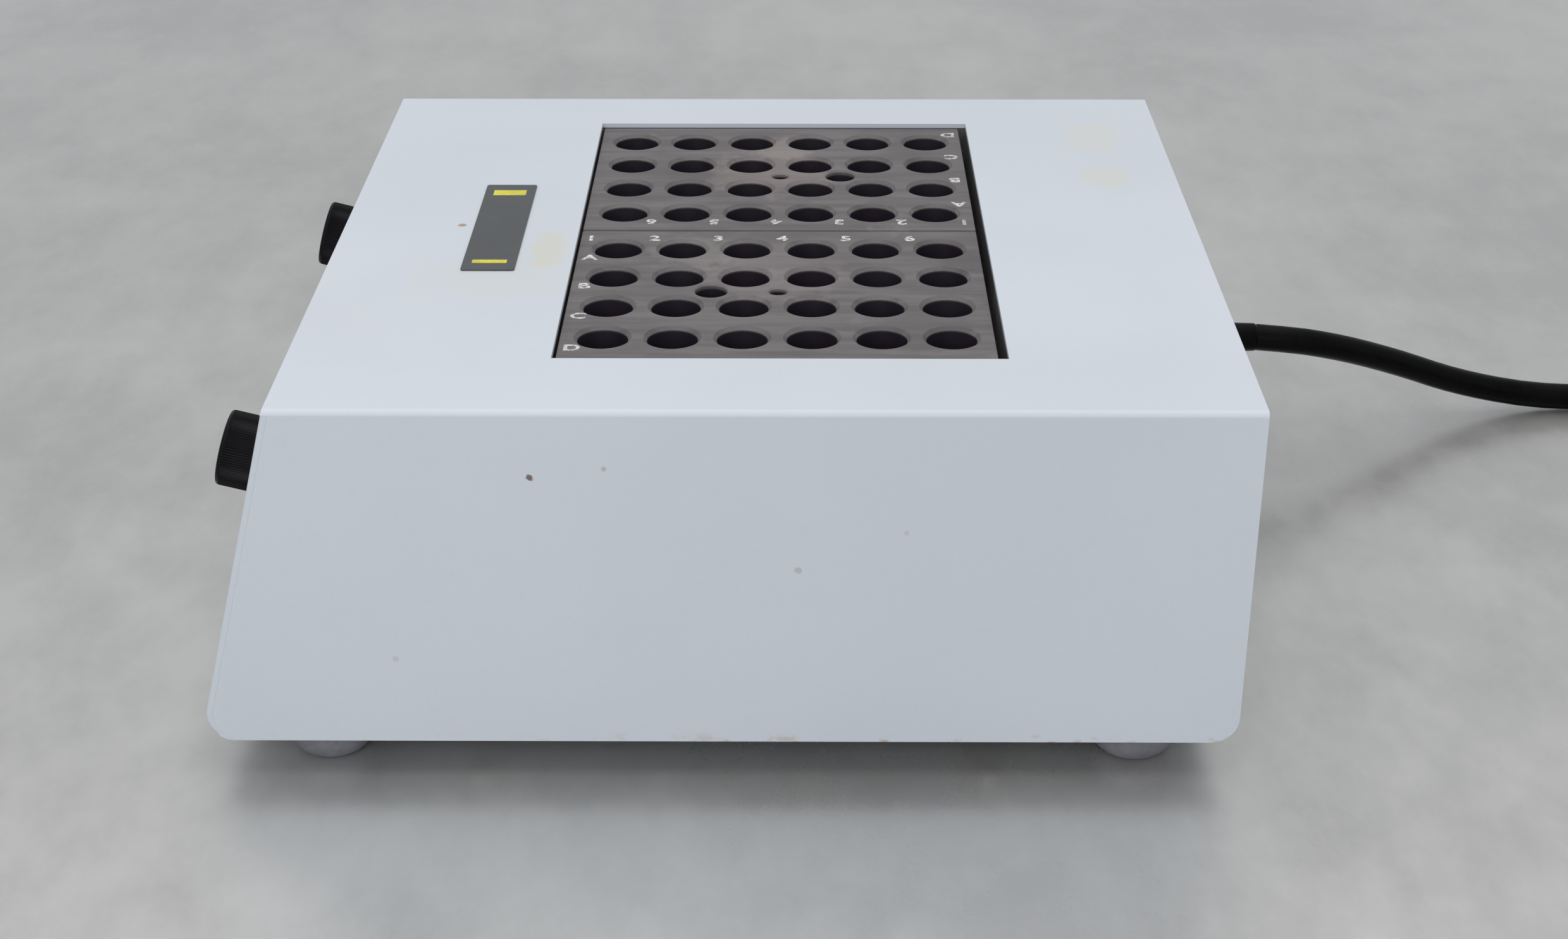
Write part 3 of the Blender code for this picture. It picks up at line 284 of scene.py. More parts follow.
def add_camera():
    camera = bpy.data.cameras.new("camera")
    camera.sensor_width = 36
    camera.lens = CAMERA_LENS
    camera.clip_start = 0.01
    camera.clip_end = 50
    obj = bpy.data.objects.new("camera", camera)
    SCENE.collection.objects.link(obj)
    back = -CAMERA_FORWARD.normalized()
    right = CAMERA_RIGHT.normalized()
    turn = Matrix((right, back.cross(right), back)).transposed().to_4x4()
    obj.matrix_world = Matrix.Translation(CAMERA_PLACE) @ turn
    SCENE.camera = obj


def add_area_light(name, place, size, power, colour):
    light = bpy.data.lights.new(name, "AREA")
    light.shape = "RECTANGLE"
    light.size, light.size_y = size
    light.energy = power
    light.color = colour
    obj = bpy.data.objects.new(name, light)
    SCENE.collection.objects.link(obj)
    aim = Vector((0, 0, 0.05)) - Vector(place)
    obj.location = place
    obj.rotation_euler = aim.to_track_quat("-Z", "Y").to_euler()


def add_light():
    world = bpy.data.worlds.new("studio")
    world.use_nodes = True
    background = world.node_tree.nodes["Background"]
    background.inputs["Color"].default_value = (0.94, 0.96, 1.0, 1)
    background.inputs["Strength"].default_value = 0.56
    SCENE.world = world
    SCENE.view_settings.view_transform = "Standard"
    add_area_light("overhead", (-0.25, 0.0, 1.7), (1.8, 2.2), 17, (1.0, 0.985, 0.96))
    add_area_light("camera_side", (1.75, -0.3, 1.0), (1.6, 1.0), 14, (0.97, 0.98, 1.0))


def add_floor():
    shape = bmesh.new()
    bmesh.ops.create_grid(shape, x_segments=8, y_segments=8, size=6)
    mesh = bpy.data.meshes.new("floor")
    shape.to_mesh(mesh)
    shape.free()
    mesh.materials.append(floor_finish())
    floor = bpy.data.objects.new("floor", mesh)
    SCENE.collection.objects.link(floor)


# ---- Materials ----

class Finish:
    """A node material being put together: helpers return the sockets they make."""

    def __init__(self, name, metallic=0.0, **inputs):
        self.material = bpy.data.materials.new(name)
        self.material.use_nodes = True
        self.tree = self.material.node_tree
        self.shader = self.tree.nodes["Principled BSDF"]
        self.shader.inputs["Metallic"].default_value = metallic
        for socket, value in inputs.items():
            self.shader.inputs[socket.replace("_", " ")].default_value = value
        self.place = self.add("ShaderNodeTexCoord").outputs["Object"]

    def add(self, kind, **settings):
        node = self.tree.nodes.new(kind)
        for name, value in settings.items():
            setattr(node, name, value)
        return node

    def link(self, value, socket):
        if isinstance(value, bpy.types.NodeSocket):
            self.tree.links.new(value, socket)
        else:
            socket.default_value = value

    def stretched(self, scale):
        node = self.add("ShaderNodeMapping")
        self.link(self.place, node.inputs["Vector"])
        node.inputs["Scale"].default_value = scale
        return node.outputs["Vector"]

    def noise(self, scale, detail=4, roughness=0.55, vector=None, distortion=0.0):
        node = self.add("ShaderNodeTexNoise")
        self.link(vector or self.place, node.inputs["Vector"])
        node.inputs["Scale"].default_value = scale
        node.inputs["Detail"].default_value = detail
        node.inputs["Roughness"].default_value = roughness
        node.inputs["Distortion"].default_value = distortion
        return node.outputs["Fac"]

    def spread(self, value, low, high, out_low=0.0, out_high=1.0):
        """Map low..high onto out_low..out_high, easing at both ends."""
        node = self.add("ShaderNodeMapRange", interpolation_type="SMOOTHSTEP")
        self.link(value, node.inputs["Value"])
        node.inputs["From Min"].default_value = low
        node.inputs["From Max"].default_value = high
        node.inputs["To Min"].default_value = out_low
        node.inputs["To Max"].default_value = out_high
        return node.outputs["Result"]

    def sum(self, first, second, operation="ADD"):
        node = self.add("ShaderNodeMath", operation=operation)
        self.link(first, node.inputs[0])
        self.link(second, node.inputs[1])
        return node.outputs["Value"]

    def times(self, first, second):
        return self.sum(first, second, "MULTIPLY")

    def size(self, value):
        return self.sum(value, 0.0, "ABSOLUTE")

    def below(self, value, limit, fade):
        """1 below the limit and 0 above it, fading over twice the fade."""
        return self.spread(value, limit - fade, limit + fade, 1.0, 0.0)

    def mix(self, share, first, second):
        node = self.add("ShaderNodeMix", data_type="RGBA")
        self.link(share, node.inputs["Factor"])
        sockets = [s for s in node.inputs if s.type == "RGBA"]
        for value, socket in zip((first, second), sockets):
            is_socket = isinstance(value, bpy.types.NodeSocket)
            self.link(value if is_socket else (*value, 1), socket)
        return next(s for s in node.outputs if s.type == "RGBA")

    def axes(self):
        node = self.add("ShaderNodeSeparateXYZ")
        self.link(self.place, node.inputs["Vector"])
        return node.outputs

    def near(self, centre, radius, stretch=(1, 1, 1), ragged=None, amount=0.0):
        """1 within radius of a point, fading to 0, its rim broken up by a ragged value."""
        apart = self.add("ShaderNodeVectorMath", operation="SUBTRACT")
        self.link(self.place, apart.inputs[0])
        apart.inputs[1].default_value = centre
        scaled = self.add("ShaderNodeVectorMath", operation="MULTIPLY")
        self.link(apart.outputs["Vector"], scaled.inputs[0])
        scaled.inputs[1].default_value = stretch
        length = self.add("ShaderNodeVectorMath", operation="LENGTH")
        self.link(scaled.outputs["Vector"], length.inputs[0])
        distance = length.outputs["Value"]
        if ragged is not None:
            distance = self.sum(distance, self.times(self.sum(ragged, 0.5, "SUBTRACT"), amount))
        return self.spread(distance, radius * 0.7, radius * 1.2, 1.0, 0.0)

    def colour(self, value):
        self.link(value, self.shader.inputs["Base Color"])

    def roughness(self, value):
        self.link(value, self.shader.inputs["Roughness"])

    def bump(self, height, strength, distance):
        node = self.add("ShaderNodeBump")
        self.link(height, node.inputs["Height"])
        node.inputs["Strength"].default_value = strength
        node.inputs["Distance"].default_value = distance
        self.link(node.outputs["Normal"], self.shader.inputs["Normal"])


def plain_finish(name, light, dark, roughness, grain, bump, stretch=(1, 1, 1), **inputs):
    """A material whose colour, gloss and height vary with two scales of noise."""
    finish = Finish(name, **inputs)
    broad = finish.noise(grain * 0.12, 3)
    fine = finish.noise(grain, 5, 0.65, finish.stretched(stretch))
    mottle = finish.sum(finish.times(broad, 0.55), finish.times(fine, 0.45))
    finish.colour(finish.mix(finish.spread(mottle, 0.36, 0.64), dark, light))
    finish.roughness(finish.spread(mottle, 0.3, 0.7, roughness[0], roughness[1]))
    finish.bump(fine, 0.35, bump)
    return finish.material


def case_paint():
    """Pale blue enamel with residue on top, flecks on the side and rust along the bottom."""
    finish = Finish("case_paint", Coat_Weight=0.12, Coat_Roughness=0.3, Specular_IOR_Level=0.42)
    _, y, z = finish.axes()
    soft = finish.noise(9, 3)
    speckle = finish.noise(420, 3)
    broad = finish.spread(soft, 0.3, 0.7)
    paint = finish.mix(broad, (0.560, 0.600, 0.650), (0.590, 0.628, 0.675))
    paint = finish.mix(finish.spread(speckle, 0.55, 0.75, 0, 0.10), paint, (0.50, 0.53, 0.57))
    ragged = finish.noise(160, 4, 0.6)
    for centre, radius, stretch, amount in RESIDUE:
        mask = finish.times(finish.near(centre, radius, stretch, ragged, radius * 1.6), amount)
        paint = finish.mix(mask, paint, RESIDUE_COLOUR)
    fleck = finish.noise(900, 2)
    for centre, radius, amount, tint in CASE_FLECKS:
        mask = finish.times(finish.near(centre, radius, (1, 1, 1), fleck, radius * 1.2), amount)
        paint = finish.mix(mask, paint, tint)
    low = finish.spread(z, 0.0090, 0.0122, 1.0, 0.0)
    scuffs = finish.noise(110, 4, 0.7, finish.stretched((1, 1, 2.6)))
    scuffed = finish.spread(scuffs, 0.53, 0.66)
    rust = finish.times(finish.times(low, scuffed), finish.spread(y, -0.06, 0.06, 0.15, 0.75))
    paint = finish.mix(rust, paint, (0.42, 0.30, 0.17))
    finish.colour(paint)
    gloss = finish.sum(finish.spread(soft, 0.3, 0.7, 0.42, 0.52), finish.times(rust, 0.2))
    finish.roughness(gloss)
    peel = finish.sum(finish.noise(650, 2), finish.times(finish.noise(1500, 2), 0.4))
    finish.bump(peel, 0.10, 0.00012)
    return finish.material


def anodised_block():
    """Dark streaked anodising, worn paler in patches, with painted shade making it near black down the wells."""
    finish = Finish("anodised_block", metallic=0.1, Specular_IOR_Level=0.35)
    streaks = finish.noise(60, 5, 0.6, finish.stretched((5.5, 0.55, 1)))
    blotch = finish.noise(38, 5, 0.6, distortion=0.6)
    fine = finish.noise(700, 3)
    streaked = finish.spread(streaks, 0.32, 0.70)
    body = finish.mix(streaked, (0.108, 0.098, 0.100), (0.164, 0.151, 0.154))
    body = finish.mix(finish.spread(blotch, 0.50, 0.72, 0, 0.45), body, (0.090, 0.081, 0.084))
    worn = finish.spread(finish.noise(95, 4, 0.7), 0.60, 0.74, 0, 0.40)
    body = finish.mix(worn, body, (0.235, 0.217, 0.212))
    ragged = finish.noise(210, 5, 0.65)
    for centre, radius, amount, tint in BLOCK_PATCHES:
        mask = finish.times(finish.near(centre, radius, (1, 1, 0.05), ragged, radius * 1.7), amount)
        body = finish.mix(mask, body, tint)
    x, y, z = finish.axes()
    from_seam = finish.size(finish.sum(x, -BLOCK_SEAM_X))
    across = finish.size(finish.sum(from_seam, -BLOCK_MIDDLE_FROM_SEAM))
    along = finish.size(finish.sum(y, -BLOCK_MIDDLE_Y))
    within = finish.times(finish.below(across, WELL_SHADE_HALF_X, WELL_SHADE_FADE),
                          finish.below(along, WELL_SHADE_HALF_Y, WELL_SHADE_FADE))
    # Painted shade: the well walls below just under the block top are coloured near black.
    painted_well_shade = finish.times(finish.below(z, WELL_SHADE_TOP, WELL_SHADE_FADE), within)
    body = finish.mix(painted_well_shade, body, (0.020, 0.0145, 0.023))
    finish.colour(body)
    finish.roughness(finish.spread(streaks, 0.3, 0.7, 0.44, 0.60))
    finish.bump(finish.sum(fine, finish.times(streaks, 0.6)), 0.18, 0.0001)
    return finish.material


def white_ink():
    """Filled engraving, worn through in patches."""
    finish = Finish("white_ink")
    wear = finish.noise(900, 4, 0.7)
    filled = finish.spread(wear, 0.42, 0.60)
    finish.colour(finish.mix(filled, (0.34, 0.33, 0.32), (0.72, 0.72, 0.70)))
    finish.roughness(finish.spread(wear, 0.3, 0.7, 0.5, 0.7))
    finish.bump(wear, 0.3, 0.00003)
    return finish.material


def floor_finish():
    finish = Finish("floor", metallic=0.65, Specular_IOR_Level=0.4)
    broad = finish.noise(5, 4)
    brushed = finish.noise(26, 5, 0.7, finish.stretched((1, 1.6, 1)))
    tone = finish.sum(finish.times(broad, 0.6), finish.times(brushed, 0.4))
    shade = finish.spread(tone, 0.35, 0.65)
    finish.colour(finish.mix(shade, (0.50, 0.497, 0.485), (0.60, 0.596, 0.582)))
    finish.roughness(finish.spread(tone, 0.3, 0.7, 0.24, 0.36))
    finish.bump(brushed, 0.03, 0.0001)
    return finish.material


FINISHES = {name: plain_finish(name, **settings) for name, settings in PLAIN_FINISHES.items()}
for make in (case_paint, anodised_block, white_ink):
    FINISHES[make.__name__] = make()


def dress_cad_nodes():
    """Give every CAD node the finish its record slot names."""
    for row in frame["record"]["subparts"]:
        node = frame["nodes"][row["node"]]
        node.data.materials.clear()
        node.data.materials.append(FINISHES[row["material_slot"]])


# ---- Making pieces ----

def piece(name, shape, finish, body="case", stands_for=(), angle=32, bevel=0.0,
          segments=2):
    """Link a bmesh as a piece that rides on a body, and free it."""
    mesh = bpy.data.meshes.new(name)
    shape.to_mesh(mesh)
    shape.free()
    obj = bpy.data.objects.new(name, mesh)
    SCENE.collection.objects.link(obj)
    mesh.materials.clear()
    mesh.materials.append(FINISHES[finish])
    mesh.shade_smooth()
    mesh.set_sharp_from_angle(angle=math.radians(angle))
    if bevel:
        edges = obj.modifiers.new("edges", "BEVEL")
        edges.width = bevel
        edges.segments = segments
        edges.limit_method = "ANGLE"
        edges.angle_limit = math.radians(angle)
        edges.harden_normals = True
    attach(obj, body)
    if stands_for:
        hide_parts(*stands_for)
    return obj


def outward(shape):
    """Turn every face of a closed bmesh outwards."""
    bmesh.ops.recalc_face_normals(shape, faces=shape.faces[:])
    if shape.calc_volume(signed=True) < 0:
        bmesh.ops.reverse_faces(shape, faces=shape.faces[:])
    return shape


def carved(solid, cutters=(), joined=()):
    """The bmesh left of a solid after its Booleans, with flat areas merged again."""
    holders = []
    for shape in (solid, *cutters, *joined):
        mesh = bpy.data.meshes.new("carving")
        outward(shape).to_mesh(mesh)
        shape.free()
        holder = bpy.data.objects.new("carving", mesh)
        SCENE.collection.objects.link(holder)
        holders.append(holder)
    base, others = holders[0], holders[1:]
    for index, other in enumerate(others):
        step = base.modifiers.new("step", "BOOLEAN")
        step.operation = "DIFFERENCE" if index < len(cutters) else "UNION"
        step.solver = "EXACT"
        step.object = other
    graph = bpy.context.evaluated_depsgraph_get()
    result = bpy.data.meshes.new_from_object(base.evaluated_get(graph))
    for holder in holders:
        bpy.data.objects.remove(holder, do_unlink=True)
    left = bmesh.new()
    left.from_mesh(result)
    bpy.data.meshes.remove(result)
    bmesh.ops.remove_doubles(left, verts=left.verts[:], dist=1e-6)
    bmesh.ops.dissolve_limit(left, angle_limit=math.radians(0.3), verts=left.verts[:],
                             edges=left.edges[:])
    return left


def box_shape(low, high):
    low, high = Vector(low), Vector(high)
    matrix = Matrix.Translation((low + high) / 2) @ Matrix.Diagonal((*(high - low), 1))
    shape = bmesh.new()
    bmesh.ops.create_cube(shape, size=1, matrix=matrix)
    return shape


def rounded(shape, edges, radius, segments):
    bmesh.ops.bevel(shape, geom=edges, offset=radius, segments=segments, affect="EDGES",
                    profile=0.5)


def turned(profile, steps, matrix=None, ripple=None):
    """Turn (radius, height) points about Z. The first and last may lie on the axis.

    ripple(angle, index) gives what to take off a point's radius.
    """
    shape = bmesh.new()
    rings = []
    for index, (radius, height) in enumerate(profile):
        if radius <= 0:
            rings.append([shape.verts.new((0, 0, height))])
            continue
        ring = []
        for step in range(steps):
            angle = 2 * math.pi * step / steps
            reach = radius - (ripple(angle, index) if ripple else 0)
            point = (reach * math.cos(angle), reach * math.sin(angle), height)
            ring.append(shape.verts.new(point))
        rings.append(ring)
    pairs = list(zip(rings, rings[1:]))
    if len(rings[0]) > 1 and len(rings[-1]) > 1:
        pairs.append((rings[-1], rings[0]))
    for first, second in pairs:
        for step in range(steps):
            after = (step + 1) % steps
            corners = [first[step % len(first)], first[after % len(first)],
                       second[after % len(second)], second[step % len(second)]]
            shape.faces.new(list(dict.fromkeys(corners)))
    if matrix is not None:
        shape.transform(matrix)
    return outward(shape)


def arc(centre, radius, start, end, steps):
    """Points (y, z) along an arc, its angles in radians from +Y towards +Z."""
    angles = [start + (end - start) * step / steps for step in range(steps + 1)]
    return [(centre[0] + radius * math.cos(a), centre[1] + radius * math.sin(a)) for a in angles]


def prism(outline, low, high):
    """A (y, z) outline drawn out along X from low to high."""
    shape = bmesh.new()
    ends = [[shape.verts.new((x, y, z)) for y, z in outline] for x in (low, high)]
    for first, second, near_first, near_second in zip(
            ends[0], ends[0][1:] + ends[0][:1], ends[1], ends[1][1:] + ends[1][:1]):
        shape.faces.new((first, second, near_second, near_first))
    shape.faces.new(ends[0])
    shape.faces.new(ends[1])
    return outward(shape)


def smooth_route(points, step):
    """Points every step metres or so along a smooth curve through the given ones."""
    points = [Vector(point) for point in points]
    ends = [2 * points[0] - points[1], *points, 2 * points[-1] - points[-2]]
    route = []
    for before, start, end, after in zip(ends, ends[1:], ends[2:], ends[3:]):
        pieces = max(1, round((end - start).length / step))
        for index in range(pieces):
            t = index / pieces
            route.append(0.5 * (2 * start + (end - before) * t
                                + (2 * before - 5 * start + 4 * end - after) * t * t
                                + (3 * start - before - 3 * end + after) * t ** 3))
    return [*route, points[-1]]


def text_shape(words, height, thickness, matrix, swell=0.0):
    """Raised characters, centred on the matrix's origin, reading along its X."""
    curve = bpy.data.curves.new("mark", "FONT")
    curve.body = words
    curve.size = height
    curve.extrude = thickness / 2
    curve.offset = swell
    curve.align_x = "CENTER"
    curve.align_y = "CENTER"
    curve.resolution_u = 3
    holder = bpy.data.objects.new("mark", curve)
    SCENE.collection.objects.link(holder)
    graph = bpy.context.evaluated_depsgraph_get()
    mesh = bpy.data.meshes.new_from_object(holder.evaluated_get(graph))
    bpy.data.objects.remove(holder, do_unlink=True)
    shape = bmesh.new()
    shape.from_mesh(mesh)
    bpy.data.meshes.remove(mesh)
    bmesh.ops.remove_doubles(shape, verts=shape.verts[:], dist=1e-7)
    shape.transform(matrix)
    return shape


def gather(shapes):
    """Several bmeshes as one."""
    whole = bmesh.new()
    for shape in shapes:
        mesh = bpy.data.meshes.new("part")
        shape.to_mesh(mesh)
        shape.free()
        whole.from_mesh(mesh)
        bpy.data.meshes.remove(mesh)
    return whole


# ---- Mains cord ----

def coil_points():
    """The wound length: each turn moves to its next place over a stretch of its own."""
    points = []
    for step in range(1, COIL_SWEEP // COIL_STEP):
        swept = step * COIL_STEP
        turn, within = divmod(swept, 360)
        row, layer = COIL_PLACES[turn]
        if turn < len(COIL_MOVES):
            start, end = COIL_MOVES[turn]
            share = min(1.0, max(0.0, (within - start) / (end - start)))
            eased = (1 - math.cos(math.pi * share)) / 2
            next_row, next_layer = COIL_PLACES[turn + 1]
            row += (next_row - row) * eased
            layer += (next_layer - layer) * eased
        radius = COIL_MEAN_RADIUS + row * CORD_DIAMETER
        angle = math.pi - math.radians(swept)
        reach = Vector((radius * math.cos(angle), radius * math.sin(angle), 0))
        points.append(COIL_CENTRE + reach + Vector((0, 0, layer * CORD_DIAMETER)))
    return points


def add_cord():
    points = smooth_route(CORD_ROUTE, ROUTE_STEP)
    points += coil_points()
    points += smooth_route(TAIL_ROUTE, ROUTE_STEP)
    curve = bpy.data.curves.new("flex", "CURVE")
    curve.dimensions = "3D"
    curve.bevel_depth = CORD_DIAMETER / 2
    curve.bevel_resolution = 6
    curve.use_fill_caps = True
    spline = curve.splines.new("POLY")
    spline.points.add(len(points) - 1)
    for knot, point in zip(spline.points, points):
        knot.co = (*point, 1)
    spline.use_smooth = True
    curve.materials.append(FINISHES["cord_jacket"])
    flex = bpy.data.objects.new("flex", curve)
    SCENE.collection.objects.link(flex)
    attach(flex, "case")
    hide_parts("mains_cord", "cord_coil", "cord_tail")
    carried = [add_plug(), add_tie(), "plug_live_blade", "plug_neutral_blade", "plug_earth_pin"]


def add_plug():
    """A moulded plug: a ringed nose that swells into a ribbed grip."""
    low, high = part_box("plug_body")
    middle = (low + high) / 2
    half = (high - low) / 2
    length = high.x - low.x
    nose = CORD_DIAMETER * 0.66
    stations = [(0.0, nose * 0.86, nose * 0.86, 2.0), (0.003, nose * 0.95, nose * 0.95, 2.0)]
    for ring in range(NOSE_RINGS):
        start = 0.004 + ring * 0.0026
        swell = nose + ring * 0.00035
        stations += [(start, swell, swell, 2.0), (start + 0.0010, swell, swell, 2.0),
                     (start + 0.0013, swell - 0.0008, swell - 0.0008, 2.0),
                     (start + 0.0023, swell - 0.0008, swell - 0.0008, 2.0)]
    for share, wide, tall, power in PLUG_GRIP:
        stations.append((share * length, wide * half.y, tall * half.z, power))
    shape = bmesh.new()
    rings = []
    for along, wide, tall, power in stations:
        ring = []
        for step in range(PLUG_STEPS):
            angle = 2 * math.pi * step / PLUG_STEPS
            c, s = math.cos(angle), math.sin(angle)
            ring.append(shape.verts.new((
                low.x + along,
                middle.y + wide * math.copysign(abs(c) ** (2 / power), c),
                middle.z + tall * math.copysign(abs(s) ** (2 / power), s))))
        rings.append(ring)
    for first, second in zip(rings, rings[1:]):
        for step in range(PLUG_STEPS):
            after = (step + 1) % PLUG_STEPS
            shape.faces.new((first[step], first[after], second[after], second[step]))
    shape.faces.new(rings[0])
    shape.faces.new(rings[-1])
    return piece("moulded_plug", outward(shape), "cord_jacket", stands_for=["plug_body"])


def add_tie():
    """A flat strap round one side of the coil, with its end tucked through."""
    low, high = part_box("coil_tie")
    outer = box_shape(low, high)
    wall = 0.001
    inner = box_shape((low.x + wall, low.y - wall, low.z + wall * 0.3),
                      (high.x - wall, high.y + wall, high.z - wall))
    head_length, head_spread = 0.005, 0.0008
    head = box_shape((high.x - wall - head_length, low.y - head_spread, high.z - wall * 1.2),
                     (high.x - wall, high.y + head_spread, high.z))
    return piece("cord_strap", carved(outer, [inner], [head]), "black_plastic",
                 stands_for=["coil_tie"], bevel=0.0003)


def add_strain_relief():
    """A ribbed sleeve that tapers onto the cord, with a flange clamped through the rear wall."""
    low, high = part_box("strain_relief")
    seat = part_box("base_chassis")[1].y
    centre = (low + high) / 2
    wide = (high.x - low.x) / 2
    cord = CORD_DIAMETER / 2
    length = high.y - seat
    plain = 0.013
    profile = [(0, high.y), (cord + 0.00005, high.y), (cord + 0.0002, high.y - 0.0004),
               (cord + 0.0005, high.y - plain)]
    rings = 4
    taper = length - 0.0055 - plain
    for ring in range(rings):
        start = high.y - plain - 0.0006 - taper * ring / rings
        radius = cord + 0.0009 + 0.0009 * ring / rings
        pitch = taper / rings
        groove = radius - 0.0007
        profile += [(radius, start), (radius + 0.0002, start - pitch * 0.55),
                    (groove, start - pitch * 0.62), (groove, start - pitch * 0.95)]
    neck, barb = 0.0048, 0.0058
    inside = seat - SHEET - GAP
    profile += [(cord + 0.0016, seat + 0.0042), (wide * 0.80, seat + 0.0034),
                (wide * 0.96, seat + 0.0030), (wide, seat + 0.0024), (wide, seat + 0.0004),
                (wide * 0.97, seat + GAP), (neck, seat + GAP), (neck, inside), (barb, inside),
                (barb - 0.0004, low.y), (0, low.y)]
    turn = Matrix.Translation((centre.x, 0, centre.z)) @ Matrix.Rotation(-math.pi / 2, 4, "X")
    piece("strain_relief_sleeve", turned(profile, 40, turn), "cord_jacket",
          stands_for=["strain_relief"])


# ---- Case ----

def front_y(height):
    """Y of the sloping front's outer face at a height."""
    return FRONT_TOP - (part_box("top_cover")[1].z - height) * math.tan(FRONT_SLOPE)


def front_bend(inset, bottom):
    """Centre, first and last angle of the bend from a front set back by inset to a floor."""
    slope = math.tan(FRONT_SLOPE)
    centre_z = bottom + CORNER_RADIUS
    centre_y = front_y(centre_z) + inset + CORNER_RADIUS * math.sqrt(1 + slope * slope)
    return (centre_y, centre_z), math.pi - FRONT_SLOPE, 1.5 * math.pi


def add_cover():
    """The folded top and side walls, with the block opening and the returns under the floor."""
    low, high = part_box("top_cover")
    set_back = (FRONT_RETURN + SEAM) / math.cos(FRONT_SLOPE)
    under_top = high.z - SHEET
    centre, start, end = front_bend(set_back, low.z)
    rear_centre = (high.y - CORNER_RADIUS, low.z + CORNER_RADIUS)
    outline = [
        (FRONT_TOP, high.z),
        (front_y(low.z), low.z),
        *arc(rear_centre, CORNER_RADIUS, 1.5 * math.pi, 2 * math.pi, 14),
        (high.y, high.z),
    ]
    solid = prism(outline, low.x, high.x)
    clear = 0.05
    front_gap = prism([
        (front_y(under_top) + set_back, under_top),
        *arc(centre, CORNER_RADIUS, start, end, 14),
        (centre[0], low.z - clear),
        (low.y - clear, low.z - clear),
        (low.y - clear, under_top),
    ], low.x - clear, high.x + clear)
    folds = [edge for edge in solid.edges
             if all(v.co.z > high.z - GAP and abs(v.co.x) > high.x - GAP for v in edge.verts)
             and abs(edge.verts[0].co.x - edge.verts[1].co.x) < GAP]
    rounded(solid, folds, FOLD_RADIUS, 10)
    inside = high.x - SHEET
    hollow = box_shape((-inside, low.y - clear, low.z - clear), (inside, high.y + clear, under_top))
    chamber_low, chamber_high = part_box("block_chamber")
    wall = CHAMBER_WALL + GAP
    opening = box_shape((chamber_low.x + wall, chamber_low.y + wall, under_top - SHEET),
                        (chamber_high.x - wall, chamber_high.y - wall, high.z + SHEET))
    returns = []
    for sign in (-1, 1):
        ends = sorted((sign * (high.x - SHEET / 2), sign * (high.x - FLOOR_RETURN_DEPTH)))
        floor_top = low.z + SHEET + GAP
        returns.append(box_shape((ends[0], FLOOR_RETURN_ENDS[0], floor_top),
                                 (ends[1], FLOOR_RETURN_ENDS[1], floor_top + SHEET)))
    piece("cover_shell", carved(solid, [hollow, front_gap, opening], returns), "case_paint",
          stands_for=["top_cover"], bevel=SHARP_EDGE, segments=1)


def add_chassis():
    """The bent base sheet: rear wall, floor, sloping front and the front's folded side edges."""
    low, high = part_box("base_chassis")
    centre, start, end = front_bend(0, low.z)
    rear_centre = (high.y - CORNER_RADIUS, low.z + CORNER_RADIUS)
    thin = CORNER_RADIUS - SHEET
    steps = 16
    half = high.x - SHEET - GAP
    sheet = prism([
        (high.y, high.z),
        *arc(rear_centre, CORNER_RADIUS, 2 * math.pi, 1.5 * math.pi, steps),
        *arc(centre, CORNER_RADIUS, end, start, steps),
        (front_y(high.z), high.z),
        (front_y(high.z) + SHEET / math.cos(FRONT_SLOPE), high.z),
        *arc(centre, thin, start, end, steps),
        *arc(rear_centre, thin, 1.5 * math.pi, 2 * math.pi, steps),
        (high.y - SHEET, high.z),
    ], -half, half)
    set_back = FRONT_RETURN / math.cos(FRONT_SLOPE)
    tip = end - math.radians(2)
    fold_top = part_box("top_cover")[1].z - SHEET - SEAM
    folds = []
    for sign in (-1, 1):
        fold = prism([
            (front_y(fold_top), fold_top),
            *arc(centre, CORNER_RADIUS, start, end, steps),
            *arc((centre[0] + set_back, centre[1]), CORNER_RADIUS, tip, start, steps),
            (front_y(fold_top) + set_back, fold_top),
        ], *sorted((sign * high.x, sign * (half - SHEET))))
        rim = [edge for edge in fold.edges
               if all(outer_front(vert.co, sign * high.x, low.z) for vert in edge.verts)]
        rounded(fold, rim, FRONT_EDGE, 4)
        folds.append(fold)
    piece("base_sheet", carved(sheet, chassis_holes(), folds), "case_paint",
          stands_for=["base_chassis"], bevel=SHARP_EDGE, segments=1)


def outer_front(point, side, bottom):
    """True on the front fold's outer line, down to where the fold thins out under the corner."""
    centre = front_bend(0, bottom)[0]
    apart = math.hypot(point.y - centre[0], point.z - centre[1])
    on_corner = abs(apart - CORNER_RADIUS) < HAIR and point.z > bottom + FRONT_EDGE * 1.5
    return abs(point.x - side) < HAIR and (point.y < front_y(point.z) + HAIR or on_corner)


def rod_shape(matrix, radius, reach):
    """A round cutter along the matrix's Z, reaching the same way to both sides."""
    return turned([(0, reach), (radius, reach), (radius, -reach), (0, -reach)], 32, matrix)


